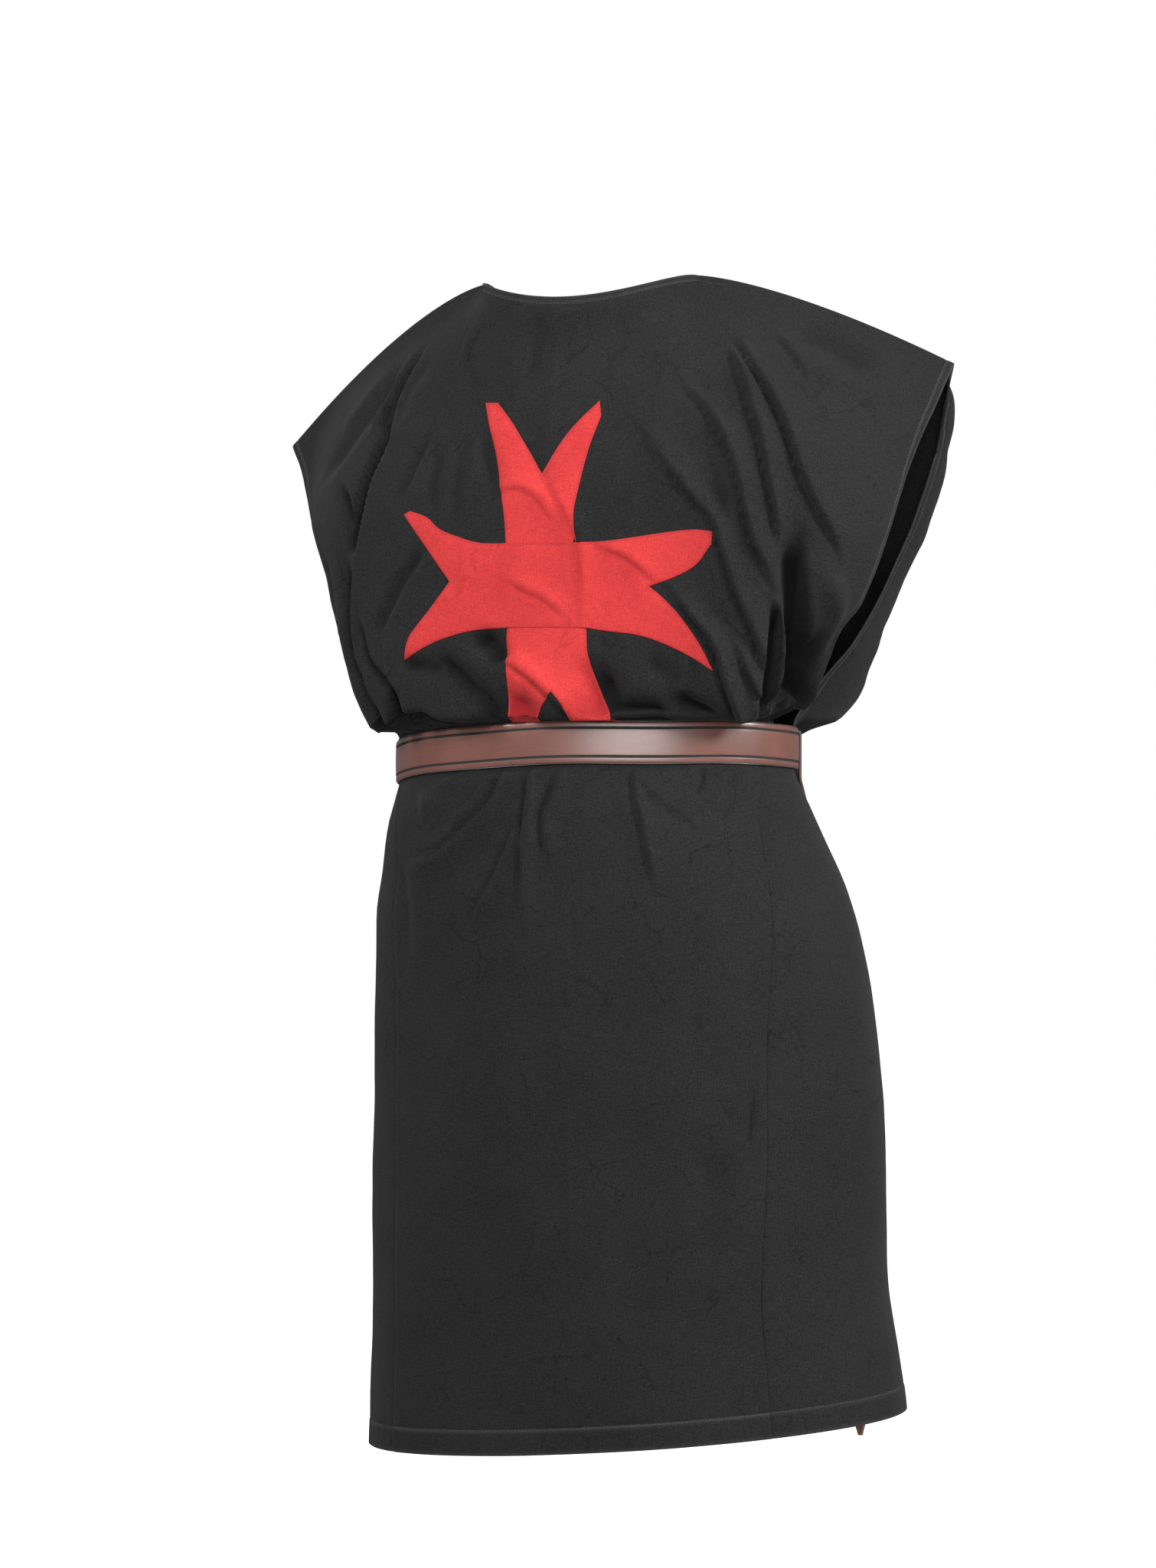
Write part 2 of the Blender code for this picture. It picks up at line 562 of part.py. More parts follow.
def make_cross(back: np.ndarray, red: bpy.types.Material) -> None:
    """The upright, and the bar over it."""
    middle = len(back[0]) // 2
    away = np.abs(back[:, middle, 2] - CROSS_Z)
    rows = np.flatnonzero(away < CROSS_BASE_HALF[1])
    columns = np.flatnonzero(np.abs(back[np.argmin(away), :, 0]) < CROSS_BASE_HALF[0])
    base = back[rows[0] : rows[-1] + 1, columns[0] : columns[-1] + 1]
    up = [(CROSS_X_MID + a, CROSS_Z + o) for o, a in arm_outline(CROSS_UP)]
    down = [(CROSS_X_MID + a, CROSS_Z - o) for o, a in reversed(arm_outline(CROSS_DOWN))]
    left = [(CROSS_X_MID + o, CROSS_Z + a) for o, a in arm_outline(CROSS_LEFT)]
    right = [(CROSS_X_MID - o, CROSS_Z + a) for o, a in reversed(arm_outline(CROSS_RIGHT))]
    flat = np.full(base.shape[:2], SEAM_GAP)
    applique("cross_upright", base, flat, up + down, red)
    over = np.abs(base[:, :, 0] - CROSS_X_MID) < CROSS_UP.neck_half + CROSS_OVERLAP
    applique("cross_bar", base, np.where(over, 2 * SEAM_GAP + APPLIQUE, SEAM_GAP), left + right, red)


def belt_point(bearing: float, level: float, off: float) -> tuple:
    """A point off the belt's inner face, at a bearing from the centre front towards the wearer's right."""
    x = BELT_CENTRE - (BELT_HALF + off) * math.sin(bearing)
    y = -(BELT_DEPTH + off) * math.cos(bearing)
    return (x, y, -level + BELT_TILT_X * x + BELT_TILT_Y * y)


def make_strap(leather: bpy.types.Material) -> None:
    """The closed loop round the waist."""
    mesh = bpy.data.meshes.new("belt_strap")
    bm = bmesh.new()
    bmesh.ops.create_cone(
        bm, cap_ends=False, segments=BELT_STEPS, radius1=1, radius2=1, depth=BELT_WIDTH
    )
    for vertex in bm.verts:
        bearing = math.atan2(-vertex.co.x, -vertex.co.y)
        vertex.co = belt_point(bearing, BELT_DROP - vertex.co.z, 0)
    bmesh.ops.recalc_face_normals(bm, faces=bm.faces[:])
    bm.to_mesh(mesh)
    bm.free()
    thicken(add_object("belt_strap", mesh, leather), LEATHER)


def tongue_off(bearing: float) -> float:
    """How far the tongue's inner face lies off the belt's inner face: it climbs over the buckle's bar."""
    bar = BUCKLE_BEARING + math.degrees(BUCKLE_HALF[0] / FRONT_RADIUS)
    rise = math.exp(-(((bearing - bar) / BAR_REACH) ** 2))
    return LEATHER + SEAM_GAP + rise * (2 * BUCKLE_WIRE + BAR_CLEAR)


def make_tongue(leather: bpy.types.Material) -> None:
    """The strap's second layer, from the buckle to the tail."""
    rows = []
    for bearing in np.linspace(TONGUE_START, TONGUE_END, TONGUE_STEPS + 1):
        off = tongue_off(bearing)
        edges = (BELT_DROP + BELT_WIDTH / 2, BELT_DROP - BELT_WIDTH / 2)
        rows.append([belt_point(math.radians(bearing), level, off) for level in edges])
    thicken(add_object("belt_tongue", grid_mesh("belt_tongue", np.array(rows)), leather), LEATHER)


def tail_sections() -> np.ndarray:
    """The tail's inner face at each of its levels, across its width."""
    sections = []
    rings = np.array([row.drop for row in SKIRT])
    for hang in TAIL:
        ring = Ring(*(np.interp(hang.drop, rings, column) for column in zip(*SKIRT)))
        turn = math.pi + math.radians(hang.bearing)
        turn = turn + BELT_WIDTH / 2 / ring.half * np.linspace(1, -1, TAIL_COLUMNS + 1)
        points = ring_point(ring, turn)
        points += np.stack([np.sin(turn), np.cos(turn), 0 * turn], axis=1) * hang.off
        points[:, 2] = -hang.drop + ring.tilt_x * points[:, 0] + ring.tilt_y * points[:, 1]
        sections.append(points)
    return np.array(sections)


def make_tail(leather: bpy.types.Material) -> None:
    """The long free end, hooked over the belt, lying down the front to a pointed tip."""
    at = np.arange(len(TAIL), dtype=float)
    drops = [hang.drop for hang in TAIL]
    hanging = [float(np.interp(level, drops[3:], at[3:])) for level in TAIL_LEVELS]
    points = loft(tail_sections(), at, np.array(HOOK_STEPS + hanging))
    middle = points[:, [TAIL_COLUMNS // 2]]
    left = np.linalg.norm(points[:, 0] - middle[:, 0], axis=1)
    to_tip = np.linalg.norm(middle[-1, 0] - middle[:, 0], axis=1)
    want = BELT_WIDTH / 2 * np.clip(to_tip / TAIL_TIP, TAIL_BLUNT, 1) ** TAIL_ROUND
    points = middle + (points - middle) * (want / np.maximum(left, 1e-4))[:, None, None]
    thicken(add_object("belt_tail", grid_mesh("belt_tail", points[:, ::-1]), leather), LEATHER)


def wire(name: str, points: list, radius: float, closed: bool, metal: bpy.types.Material) -> None:
    """A round metal wire along points."""
    curve = bpy.data.curves.new(name, "CURVE")
    curve.dimensions = "3D"
    curve.bevel_depth = radius
    curve.bevel_resolution = 2
    curve.use_fill_caps = not closed
    spline = curve.splines.new("POLY")
    spline.points.add(len(points) - 1)
    for target, place in zip(spline.points, points):
        target.co = (*place, 1)
    spline.use_cyclic_u = closed
    curve.materials.append(metal)
    bpy.data.collections["surcoat"].objects.link(bpy.data.objects.new(name, curve))


def make_buckle(metal: bpy.types.Material) -> None:
    """The frame, lying on the strap round the tongue's start, and the prong across it."""
    half_along, half_up = BUCKLE_HALF
    path = []
    for quarter in range(4):
        turn = quarter * math.pi / 2
        corner_x = (half_along - BUCKLE_CORNER) * (1 if quarter in (0, 3) else -1)
        corner_z = (half_up - BUCKLE_CORNER) * (1 if quarter in (0, 1) else -1)
        for step in range(CORNER_STEPS + 1):
            angle = turn + step / CORNER_STEPS * math.pi / 2
            path.append(
                (corner_x + BUCKLE_CORNER * math.cos(angle), corner_z + BUCKLE_CORNER * math.sin(angle))
            )
    off = LEATHER + SEAM_GAP + BUCKLE_WIRE
    middle = math.radians(BUCKLE_BEARING)
    frame = [belt_point(middle + along / FRONT_RADIUS, BELT_DROP - up, off) for along, up in path]
    wire("buckle_frame", frame, BUCKLE_WIRE, True, metal)
    bar = middle + half_along / FRONT_RADIUS
    rail = middle - half_along / FRONT_RADIUS
    prong = []
    for share in np.linspace(0, 1, PRONG_STEPS + 1):
        bearing = bar + (rail - math.radians(PRONG_PAST) - bar) * share
        tongue = tongue_off(math.degrees(bearing)) + LEATHER if share < PRONG_OVER_TONGUE else 0
        clear = max(tongue, LEATHER + SEAM_GAP + 2 * BUCKLE_WIRE) + 2 * SEAM_GAP + PRONG_WIRE
        prong.append(belt_point(bearing, BELT_DROP, clear))
    wire("buckle_prong", prong, PRONG_WIRE, False, metal)


def make_keeper(leather: bpy.types.Material) -> None:
    """The loop that holds the tongue down: a band over both layers, turned in over the strap's edges."""
    top = BELT_DROP - BELT_WIDTH / 2 - SEAM_GAP
    bottom = BELT_DROP + BELT_WIDTH / 2 + SEAM_GAP
    over = 2 * LEATHER + 2 * SEAM_GAP
    path = [(top, 0.0), (top, over), (bottom, over), (bottom, 0.0)]
    rows = []
    half = KEEPER_WIDTH / 2 / FRONT_RADIUS
    for level, off in path:
        rows.append(
            [belt_point(math.radians(KEEPER_BEARING) + turn, level, off) for turn in (-half, 0, half)]
        )
    sheet = add_object("belt_keeper", grid_mesh("belt_keeper", np.array(rows)), leather)
    thicken(sheet, KEEPER_WALL)
    sheet.modifiers["Wall"].use_even_offset = True


def main() -> None:
    """Clear the scene and build every piece."""
    for old in list(bpy.data.objects):
        bpy.data.objects.remove(old, do_unlink=True)
    for name in ("surcoat", "cutters"):
        bpy.context.scene.collection.children.link(bpy.data.collections.new(name))
    cotton = material("black cotton", (0.026, 0.026, 0.027), 0.85)
    red = material("red cotton", (0.52, 0.035, 0.035), 0.8)
    leather = material("brown leather", (0.10, 0.045, 0.03), 0.4)
    brass = material("antique brass", (0.45, 0.32, 0.14), 0.4, 1.0)
    make_cloth(cotton)
    make_cross(panel_points(+1, BACK_COLUMNS, CHEST_LEVELS + BELT_LEVELS + SKIRT_LEVELS), red)
    make_strap(leather)
    make_tongue(leather)
    make_tail(leather)
    make_buckle(brass)
    make_keeper(leather)


main()
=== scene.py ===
"""Looks of a medieval surcoat as it is worn: black cotton, a red sewn-on cross and a brown leather belt.

Metres, +Z up. The front faces -Y and the wearer's left is +X. The origin is the middle of the neck
opening, at the height where the cloth rests on the shoulders.
"""

import json
import logging
import math
from dataclasses import dataclass, field
from enum import Enum
from typing import Callable, Dict, List, NamedTuple, Optional, Sequence, Tuple

import bpy
import numpy as np
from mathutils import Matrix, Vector, geometry, interpolate, noise
from mathutils.bvhtree import BVHTree

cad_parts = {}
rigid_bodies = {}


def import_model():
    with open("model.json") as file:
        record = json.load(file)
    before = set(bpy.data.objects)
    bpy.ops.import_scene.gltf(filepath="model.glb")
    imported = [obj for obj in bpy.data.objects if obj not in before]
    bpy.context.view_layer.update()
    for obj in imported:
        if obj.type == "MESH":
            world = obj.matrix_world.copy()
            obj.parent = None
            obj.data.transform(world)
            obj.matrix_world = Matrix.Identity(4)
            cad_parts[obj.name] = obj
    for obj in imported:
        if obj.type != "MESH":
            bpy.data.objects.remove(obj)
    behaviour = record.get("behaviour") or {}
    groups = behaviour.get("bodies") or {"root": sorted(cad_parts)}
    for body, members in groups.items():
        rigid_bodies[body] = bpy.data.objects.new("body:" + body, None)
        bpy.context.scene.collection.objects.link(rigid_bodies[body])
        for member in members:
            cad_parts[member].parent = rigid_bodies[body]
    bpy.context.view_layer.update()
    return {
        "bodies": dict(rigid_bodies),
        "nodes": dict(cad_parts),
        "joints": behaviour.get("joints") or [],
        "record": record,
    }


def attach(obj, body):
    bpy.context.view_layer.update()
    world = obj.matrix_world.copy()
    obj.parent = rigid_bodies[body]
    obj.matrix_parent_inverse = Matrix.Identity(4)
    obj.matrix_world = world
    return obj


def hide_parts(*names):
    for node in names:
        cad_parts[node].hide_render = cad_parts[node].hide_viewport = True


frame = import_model()
log = logging.getLogger("surcoat")

ROOT = "root"
CLOTH_UV = "cloth"
# The mesh attribute that carries wear and painted shade: below zero it paints folds darker.
WEAR_AND_SHADE = "wear"
LINING = "inner_side"

Array = np.ndarray
Point = Tuple[float, float]
Colour = Tuple[float, float, float]
Material = bpy.types.Material
Piece = bpy.types.Object
Socket = bpy.types.NodeSocket
Value = object  # a Term, a socket, a number, or a row of numbers


# ---- Shader expressions ----


def operator(kind: str, swapped: bool = False) -> Callable[["Term", Value], "Term"]:
    """A method of Term that adds one Math node, with its two values swapped if asked."""

    def method(self: "Term", other: Value) -> "Term":
        """One Math node from this value and the other."""
        pair = (other, self) if swapped else (self, other)
        return self.graph.maths(kind, *pair)

    return method


class Term:
    """A shader value. Its operators add Math nodes."""

    __add__ = operator("ADD")
    __radd__ = operator("ADD", swapped=True)
    __sub__ = operator("SUBTRACT")
    __rsub__ = operator("SUBTRACT", swapped=True)
    __mul__ = operator("MULTIPLY")
    __rmul__ = operator("MULTIPLY", swapped=True)
    __truediv__ = operator("DIVIDE")

    def __init__(self, graph: "Graph", socket: Socket) -> None:
        """Wrap a socket of the graph."""
        self.graph = graph
        self.socket = socket

    def sine(self) -> "Term":
        """The sine of an angle in radians."""
        return self.graph.maths("SINE", self)

    def size(self) -> "Term":
        """The value without its sign."""
        return self.graph.maths("ABSOLUTE", self)

    def clamped(self) -> "Term":
        """The value held between 0 and 1."""
        return self.graph.maths("MINIMUM", self.graph.maths("MAXIMUM", self, 0.0), 1.0)

    def band(self, low: float, high: float) -> "Term":
        """0 below low, 1 above high, and even between them."""
        return ((self - low) / (high - low)).clamped()


def feed(tree: bpy.types.NodeTree, socket: Socket, value: Value) -> None:
    """Link a term or socket to an input, or set a constant on it."""
    if isinstance(value, Term):
        value = value.socket
    if isinstance(value, Socket):
        tree.links.new(value, socket)
    else:
        socket.default_value = value


def add_node(
    tree: bpy.types.NodeTree, kind: str, inputs: Optional[Dict] = None, **settings: object
) -> bpy.types.Node:
    """Add a node to a tree.

    Args:
        tree: The tree.
        kind: The node's type.
        inputs: Its inputs by name or number, as constants, terms or sockets.
        settings: Its own settings, which are set first.

    Returns:
        The node.
    """
    made = tree.nodes.new(kind)
    for key, value in settings.items():
        setattr(made, key, value)
    for key, value in (inputs or {}).items():
        feed(tree, made.inputs[key], value)
    return made


class Graph:
    """A material under construction."""

    def __init__(self, name: str) -> None:
        """Start a material that holds one Principled shader."""
        self.material = bpy.data.materials.new(name)
        self.material.use_nodes = True
        self.tree = self.material.node_tree
        self.shader = self.tree.nodes["Principled BSDF"]

    def node(self, kind: str, inputs: Optional[Dict] = None, **settings: object) -> bpy.types.Node:
        """Add a node of a kind that is named without its ShaderNode start."""
        return add_node(self.tree, "ShaderNode" + kind, inputs, **settings)

    def maths(self, operation: str, *values: Value) -> Term:
        """One Math node."""
        return Term(self, self.node("Math", dict(enumerate(values)), operation=operation).outputs[0])

    def mix(self, factor: Value, first: Value, second: Value) -> Socket:
        """A colour between two, by factor."""
        return self.node("Mix", {0: factor, 6: first, 7: second}, data_type="RGBA").outputs[2]

    def attribute(self, name: str) -> Term:
        """A number that the mesh holds at its points."""
        return Term(self, self.node("Attribute", attribute_name=name).outputs["Fac"])

    def flat_place(self) -> Tuple[Term, Term]:
        """The place on the flat cloth or strap, across and along, in metres."""
        uv = self.node("UVMap", uv_map=CLOTH_UV).outputs[0]
        split = self.node("SeparateXYZ", {0: uv}).outputs
        return Term(self, split[0]), Term(self, split[1])

    def joined(self, x: Value, y: Value, z: Value = 0.0) -> Socket:
        """A vector from three numbers."""
        return self.node("CombineXYZ", {0: x, 1: y, 2: z}).outputs[0]

    def cloud(self, place: Value, scale: float, detail: float = 2.0, rough: float = 0.5) -> Term:
        """Noise from 0 to 1."""
        inputs = {"Vector": place, "Scale": scale, "Detail": detail, "Roughness": rough}
        return Term(self, self.node("TexNoise", inputs).outputs[0])

    def cells(self, place: Value, scale: float, feature: str = "F1") -> Term:
        """Distance to the middle of the nearest cell, or to the nearest border between cells."""
        made = self.node("TexVoronoi", {"Vector": place, "Scale": scale}, feature=feature)
        return Term(self, made.outputs["Distance"])

    def object_place(self) -> Socket:
        """The place on the piece, in metres."""
        return self.node("TexCoord").outputs["Object"]

    def bump(self, height: Value, strength: float, depth: float) -> Socket:
        """A normal tilted by a height from 0 to 1 that stands for a depth in metres."""
        inputs = {"Strength": strength, "Distance": depth, "Height": height}
        return self.node("Bump", inputs).outputs[0]

    def dress(self, **sockets: Value) -> Material:
        """Set the shader's inputs, named with _ for each space, and give the material."""
        for name, value in sockets.items():
            feed(self.tree, self.shader.inputs[name.replace("_", " ")], value)
        return self.material


class Noise(NamedTuple):
    """A cloudy noise: how fine it is, and its detail and roughness."""

    scale: float
    detail: float = 2.0
    rough: float = 0.5


CRINKLE_BEND = Noise(26.0, 3.0, 0.6)
CRINKLE_PATCHES = Noise(17.0)
DYE_CLOUDS = Noise(9.0, 3.0, 0.55)
DYE_MOTTLE = Noise(75.0, 3.0, 0.65)
YARN_GRAIN = Noise(620.0, 2.0, 0.8)
LINT_PATCHES = Noise(55.0, 1.0)
FUZZ = Noise(2600.0, 1.0)
HIDE_CLOUDS = Noise(26.0, 4.0, 0.6)
HIDE_GRAIN = Noise(1400.0, 3.0, 0.65)
TARNISH = Noise(130.0, 4.0, 0.6)
NICKS = Noise(900.0)
FIBRE = Noise(2200.0)
YARN_ALONG = 110.0
YARN_ACROSS = 900.0
PULL_ALONG = 45.0
PULL_ACROSS = 420.0
LINT_SPECKS = 130.0
PORES = 950.0


def rgba(colour: Colour) -> Tuple[float, float, float, float]:
    """A solid colour."""
    return (*colour, 1.0)


@dataclass(frozen=True)
class CottonFinish:
    """Plain-weave cotton: crossing threads, thicker yarns here and there, uneven dye and lint, with painted
    shade in folds, creases and between threads.
    """

    name: str
    dark: Colour
    light: Colour
    # The colour at the edges: real wear on the black, painted edge shade on the red.
    edge_wear_and_shade: Colour
    # The colour that painted shade darkens the cloth to, deep in a fold.
    painted_fold_shade: Colour
    lint: Colour
    pitch: float
    weave_depth: float
    patchiness: float
    streakiness: float
    graininess: float
    creasing: float
    cell_scale: float
    # How strongly edges take the edge colour: real wear on the black, painted edge shade on the red.
    wear: float
    # How strongly painted shade darkens the cloth deep in folds.
    kept: float
    sheen: float
    lint_amount: float

    def weave(self, across: Term, along: Term) -> Term:
        """The height of crossing threads, from 0 to 1."""
        warp = (across * (math.pi / self.pitch)).sine()
        weft = (along * (math.pi / self.pitch)).sine()
        over = (warp * weft * 2.0).band(-1.0, 1.0)
        return warp.size() * over + weft.size() * (1.0 - over)

    def crinkles(self, graph: Graph, across: Term, along: Term) -> Term:
        """Thin, bent lines left from packing, in patches, from 0 to 1."""
        flat = graph.joined(across, along)
        bend = graph.cloud(flat, *CRINKLE_BEND) - 0.5
        lean = graph.cloud(graph.joined(along, across, 5.0), *CRINKLE_BEND) - 0.5
        bent = graph.joined(across + bend * 0.05, along + lean * 0.05)
        cell = self.cell_scale
        line = 1.0 - graph.cells(bent, cell, "DISTANCE_TO_EDGE").band(0.0, 0.0011 * cell)
        return line * graph.cloud(flat, *CRINKLE_PATCHES).band(0.46, 0.60)

    def material(self) -> Material:
        """Build the cotton's material."""
        graph = Graph(self.name)
        across, along = graph.flat_place()
        threads = self.weave(across, along)
        flat = graph.joined(across, along)
        clouds = graph.cloud(flat, *DYE_CLOUDS)
        mottle = graph.cloud(flat, *DYE_MOTTLE)
        grain = graph.cloud(flat, *YARN_GRAIN)
        weft_yarn = graph.cloud(graph.joined(across * YARN_ALONG, along * YARN_ACROSS), 1.0)
        warp_yarn = graph.cloud(graph.joined(across * YARN_ACROSS, along * YARN_ALONG, 3.0), 1.0)
        streaks = weft_yarn + warp_yarn - 1.0
        crinkles = self.crinkles(graph, across, along)
        shade = (
            0.5
            + (clouds - 0.5) * self.patchiness
            + (mottle - 0.5) * (0.50 * self.patchiness)
            + (grain - 0.5) * (1.5 * self.graininess)
            + streaks * (0.75 * self.streakiness)
            # The weave is painted lighter on the thread crowns and darker between threads: painted shade.
            + (threads - 0.5) * 0.25
            # The crinkle lines are painted darker: painted shade in their small creases.
            - crinkles * 0.45
        ).clamped()
        colour = graph.mix(shade, rgba(self.dark), rgba(self.light))
        fluff = 1.0 - graph.cells(graph.joined(across, along, 7.0), LINT_SPECKS).band(0.03, 0.07)
        chosen = graph.cloud(flat, *LINT_PATCHES).band(0.70, 0.74) * fluff * self.lint_amount
        colour = graph.mix(chosen, colour, rgba(self.lint))
        # Painted shade: where the attribute is below zero, deep in a fold, the colour darkens towards the
        # painted fold-shade colour.
        colour = graph.mix((graph.attribute(WEAR_AND_SHADE) * -self.kept).clamped(), colour, rgba(self.painted_fold_shade))
        # Edges take the edge colour: lighter wear on the black, painted shade on the red.
        edge_wear_and_shade = (graph.attribute(WEAR_AND_SHADE) * (0.5 + mottle) * self.wear).clamped()
        colour = graph.mix(edge_wear_and_shade, colour, rgba(self.edge_wear_and_shade))
        fuzz = graph.cloud(flat, *FUZZ)
        height = threads * 0.7 + fuzz * 0.2 + streaks * 0.35 - crinkles * self.creasing
        normal = graph.bump(height, 0.55, self.weave_depth)
        return graph.dress(
            Base_Color=colour,
            Roughness=0.82 + 0.12 * mottle,
            Normal=normal,
            Sheen_Weight=self.sheen,
            Sheen_Roughness=0.4,
            Specular_IOR_Level=0.10,
        )


@dataclass(frozen=True)
class LeatherFinish:
    """Vegetable-tanned strap leather: pores, a soft gloss, burnished edges and two tooled lines."""

    name: str
    deep: Colour
    warm: Colour
    line: Colour
    flesh: Colour
    half_width: float
    line_from_middle: float
    line_half: float

    def material(self) -> Material:
        """Build the leather's material."""
        graph = Graph(self.name)
        across, along = graph.flat_place()
        flat = graph.joined(across, along)
        clouds = graph.cloud(flat, *HIDE_CLOUDS)
        pull = graph.cloud(graph.joined(across * PULL_ACROSS, along * PULL_ALONG), 1.0, 3.0)
        pores = graph.cells(flat, PORES)
        grain = graph.cloud(flat, *HIDE_GRAIN)
        shade = (clouds * 0.75 + pull * 0.35 + (pores - 0.5) * 0.18 - 0.05).clamped()
        colour = graph.mix(shade, rgba(self.deep), rgba(self.warm))
        away = (across.size() - self.line_from_middle).size()
        line = 1.0 - away.band(self.line_half * 0.6, self.line_half)
        line = line * (1.0 - graph.attribute(LINING))
        colour = graph.mix(line, colour, rgba(self.line))
        rim = across.size().band(self.half_width - 0.0016, self.half_width - 0.0004)
        colour = graph.mix(rim * 0.85, colour, rgba(self.line))
        # The punched holes are only dents; they are painted near-black, partly for the black cloth behind
        # and partly as painted shade down the hole.
        hole = graph.attribute(WEAR_AND_SHADE).clamped()
        colour = graph.mix(hole, colour, rgba(self.line))
        inside = graph.attribute(LINING)
        colour = graph.mix(inside, colour, rgba(self.flesh))
        height = grain * 0.5 + pores * 0.5
        normal = graph.bump(height, 0.35, 0.0004)
        rough = 0.20 + 0.16 * clouds + 0.08 * grain + inside * 0.4 + line * 0.45
        return graph.dress(
            Base_Color=colour,
            Roughness=rough,
            Normal=normal,
            Specular_IOR_Level=0.5,
            Coat_Weight=0.7 * (1.0 - line) * (1.0 - inside),
            Coat_Roughness=0.38,
            Coat_IOR=1.8,
        )


@dataclass(frozen=True)
class MetalFinish:
    """Cast brass that has dulled, with a darker film in patches."""

    name: str
    bright: Colour
    film: Colour

    def material(self) -> Material:
        """Build the metal's material."""
        graph = Graph(self.name)
        place = graph.object_place()
        clouds = graph.cloud(place, *TARNISH)
        nicks = graph.cloud(place, *NICKS)
        film = clouds.band(0.42, 0.72)
        colour = graph.mix(film * 0.8, rgba(self.bright), rgba(self.film))
        normal = graph.bump(clouds * 0.5 + nicks * 0.5, 0.3, 0.0004)
        return graph.dress(Base_Color=colour, Roughness=0.26 + 0.3 * film, Metallic=1.0, Normal=normal)


@dataclass(frozen=True)
class ThreadFinish:
    """Sewing thread: two plies twisted together."""

    name: str
    colour: Colour
    shadow: Colour

    def material(self) -> Material:
        """Build the thread's material."""
        graph = Graph(self.name)
        place = graph.object_place()
        fibre = graph.cloud(place, *FIBRE)
        colour = graph.mix(fibre, rgba(self.shadow), rgba(self.colour))
        return graph.dress(Base_Color=colour, Roughness=0.6 + 0.2 * fibre, Sheen_Weight=0.2)


# ---- Meshes ----


def unit(vectors: Array) -> Array:
    """The vectors at a length of 1."""
    return vectors / np.maximum(np.linalg.norm(vectors, axis=-1, keepdims=True), 1e-12)


def smooth_step(values: Array) -> Array:
    """0 to 1 with soft ends."""
    held = np.clip(values, 0, 1)
    return held * held * (3 - 2 * held)


def bell(values: Array, width: float) -> Array:
    """1 where the value is 0, falling away over about a width to both sides."""
    return np.exp(-((values / width) ** 2))


def path_lengths(points: Array) -> Array:
    """The distance along a path to each of its points."""
    return np.concatenate([[0], np.cumsum(np.linalg.norm(np.diff(points, axis=0), axis=1))])


def read_along(points: Array, lengths: Array, wanted: Array) -> Array:
    """Places at the wanted distances along a path."""
    return np.stack([np.interp(wanted, lengths, column) for column in points.T], axis=-1)


def smooth_curve(held: Array, steps: int) -> Array:
    """A smooth curve through points, with some steps from each one to the next."""
    full = np.concatenate([[2 * held[0] - held[1]], held, [2 * held[-1] - held[-2]]])
    wanted = np.linspace(0, len(held) - 1, steps * (len(held) - 1) + 1)
    cell = np.clip(wanted.astype(int), 0, len(held) - 2)
    t = (wanted - cell)[:, None]
    a, b, c, d = (full[cell + step] for step in range(4))
    curve = 2 * b + (c - a) * t + (2 * a - 5 * b + 4 * c - d) * t * t + (3 * b - a - 3 * c + d) * t**3
    return 0.5 * curve


def quads_of(number: Array) -> Array:
    """Quads over a grid of point numbers."""
    sides = [number[:-1, :-1], number[1:, :-1], number[1:, 1:], number[:-1, 1:]]
    return np.stack(sides, axis=-1).reshape(-1, 4)


def turned_to(normals: Array, way: Sequence[float]) -> Array:
    """A grid of normals, turned round if its middle one points away from a direction."""
    middle = normals[len(normals) // 2, normals.shape[1] // 2]
    return -normals if (middle * np.array(way)).sum() < 0 else normals


def outward(points: Array, facing: int) -> Array:
    """Unit normals of a grid of points, out of the garment."""
    across = np.gradient(points, axis=1)
    down = np.gradient(points, axis=0)
    return unit(np.cross(across, down) * facing)


def run_across(points: Array) -> Array:
    """Distance along each row of a grid, from its first point."""
    step = np.linalg.norm(np.diff(points, axis=1), axis=2)
    return np.concatenate([np.zeros((len(points), 1)), np.cumsum(step, axis=1)], axis=1)


def run_down(points: Array) -> Array:
    """Distance down each column of a grid, from its first point."""
    return run_across(points.transpose(1, 0, 2)).T


def waviness(points: Array, scale: float, seed: float) -> Array:
    """Smooth noise from -1 to 1 over points, with features about scale metres wide."""
    flat = points.reshape(-1, 3) / scale + seed
    values = np.array([noise.noise(Vector(place)) for place in flat])
    return values.reshape(points.shape[:-1])


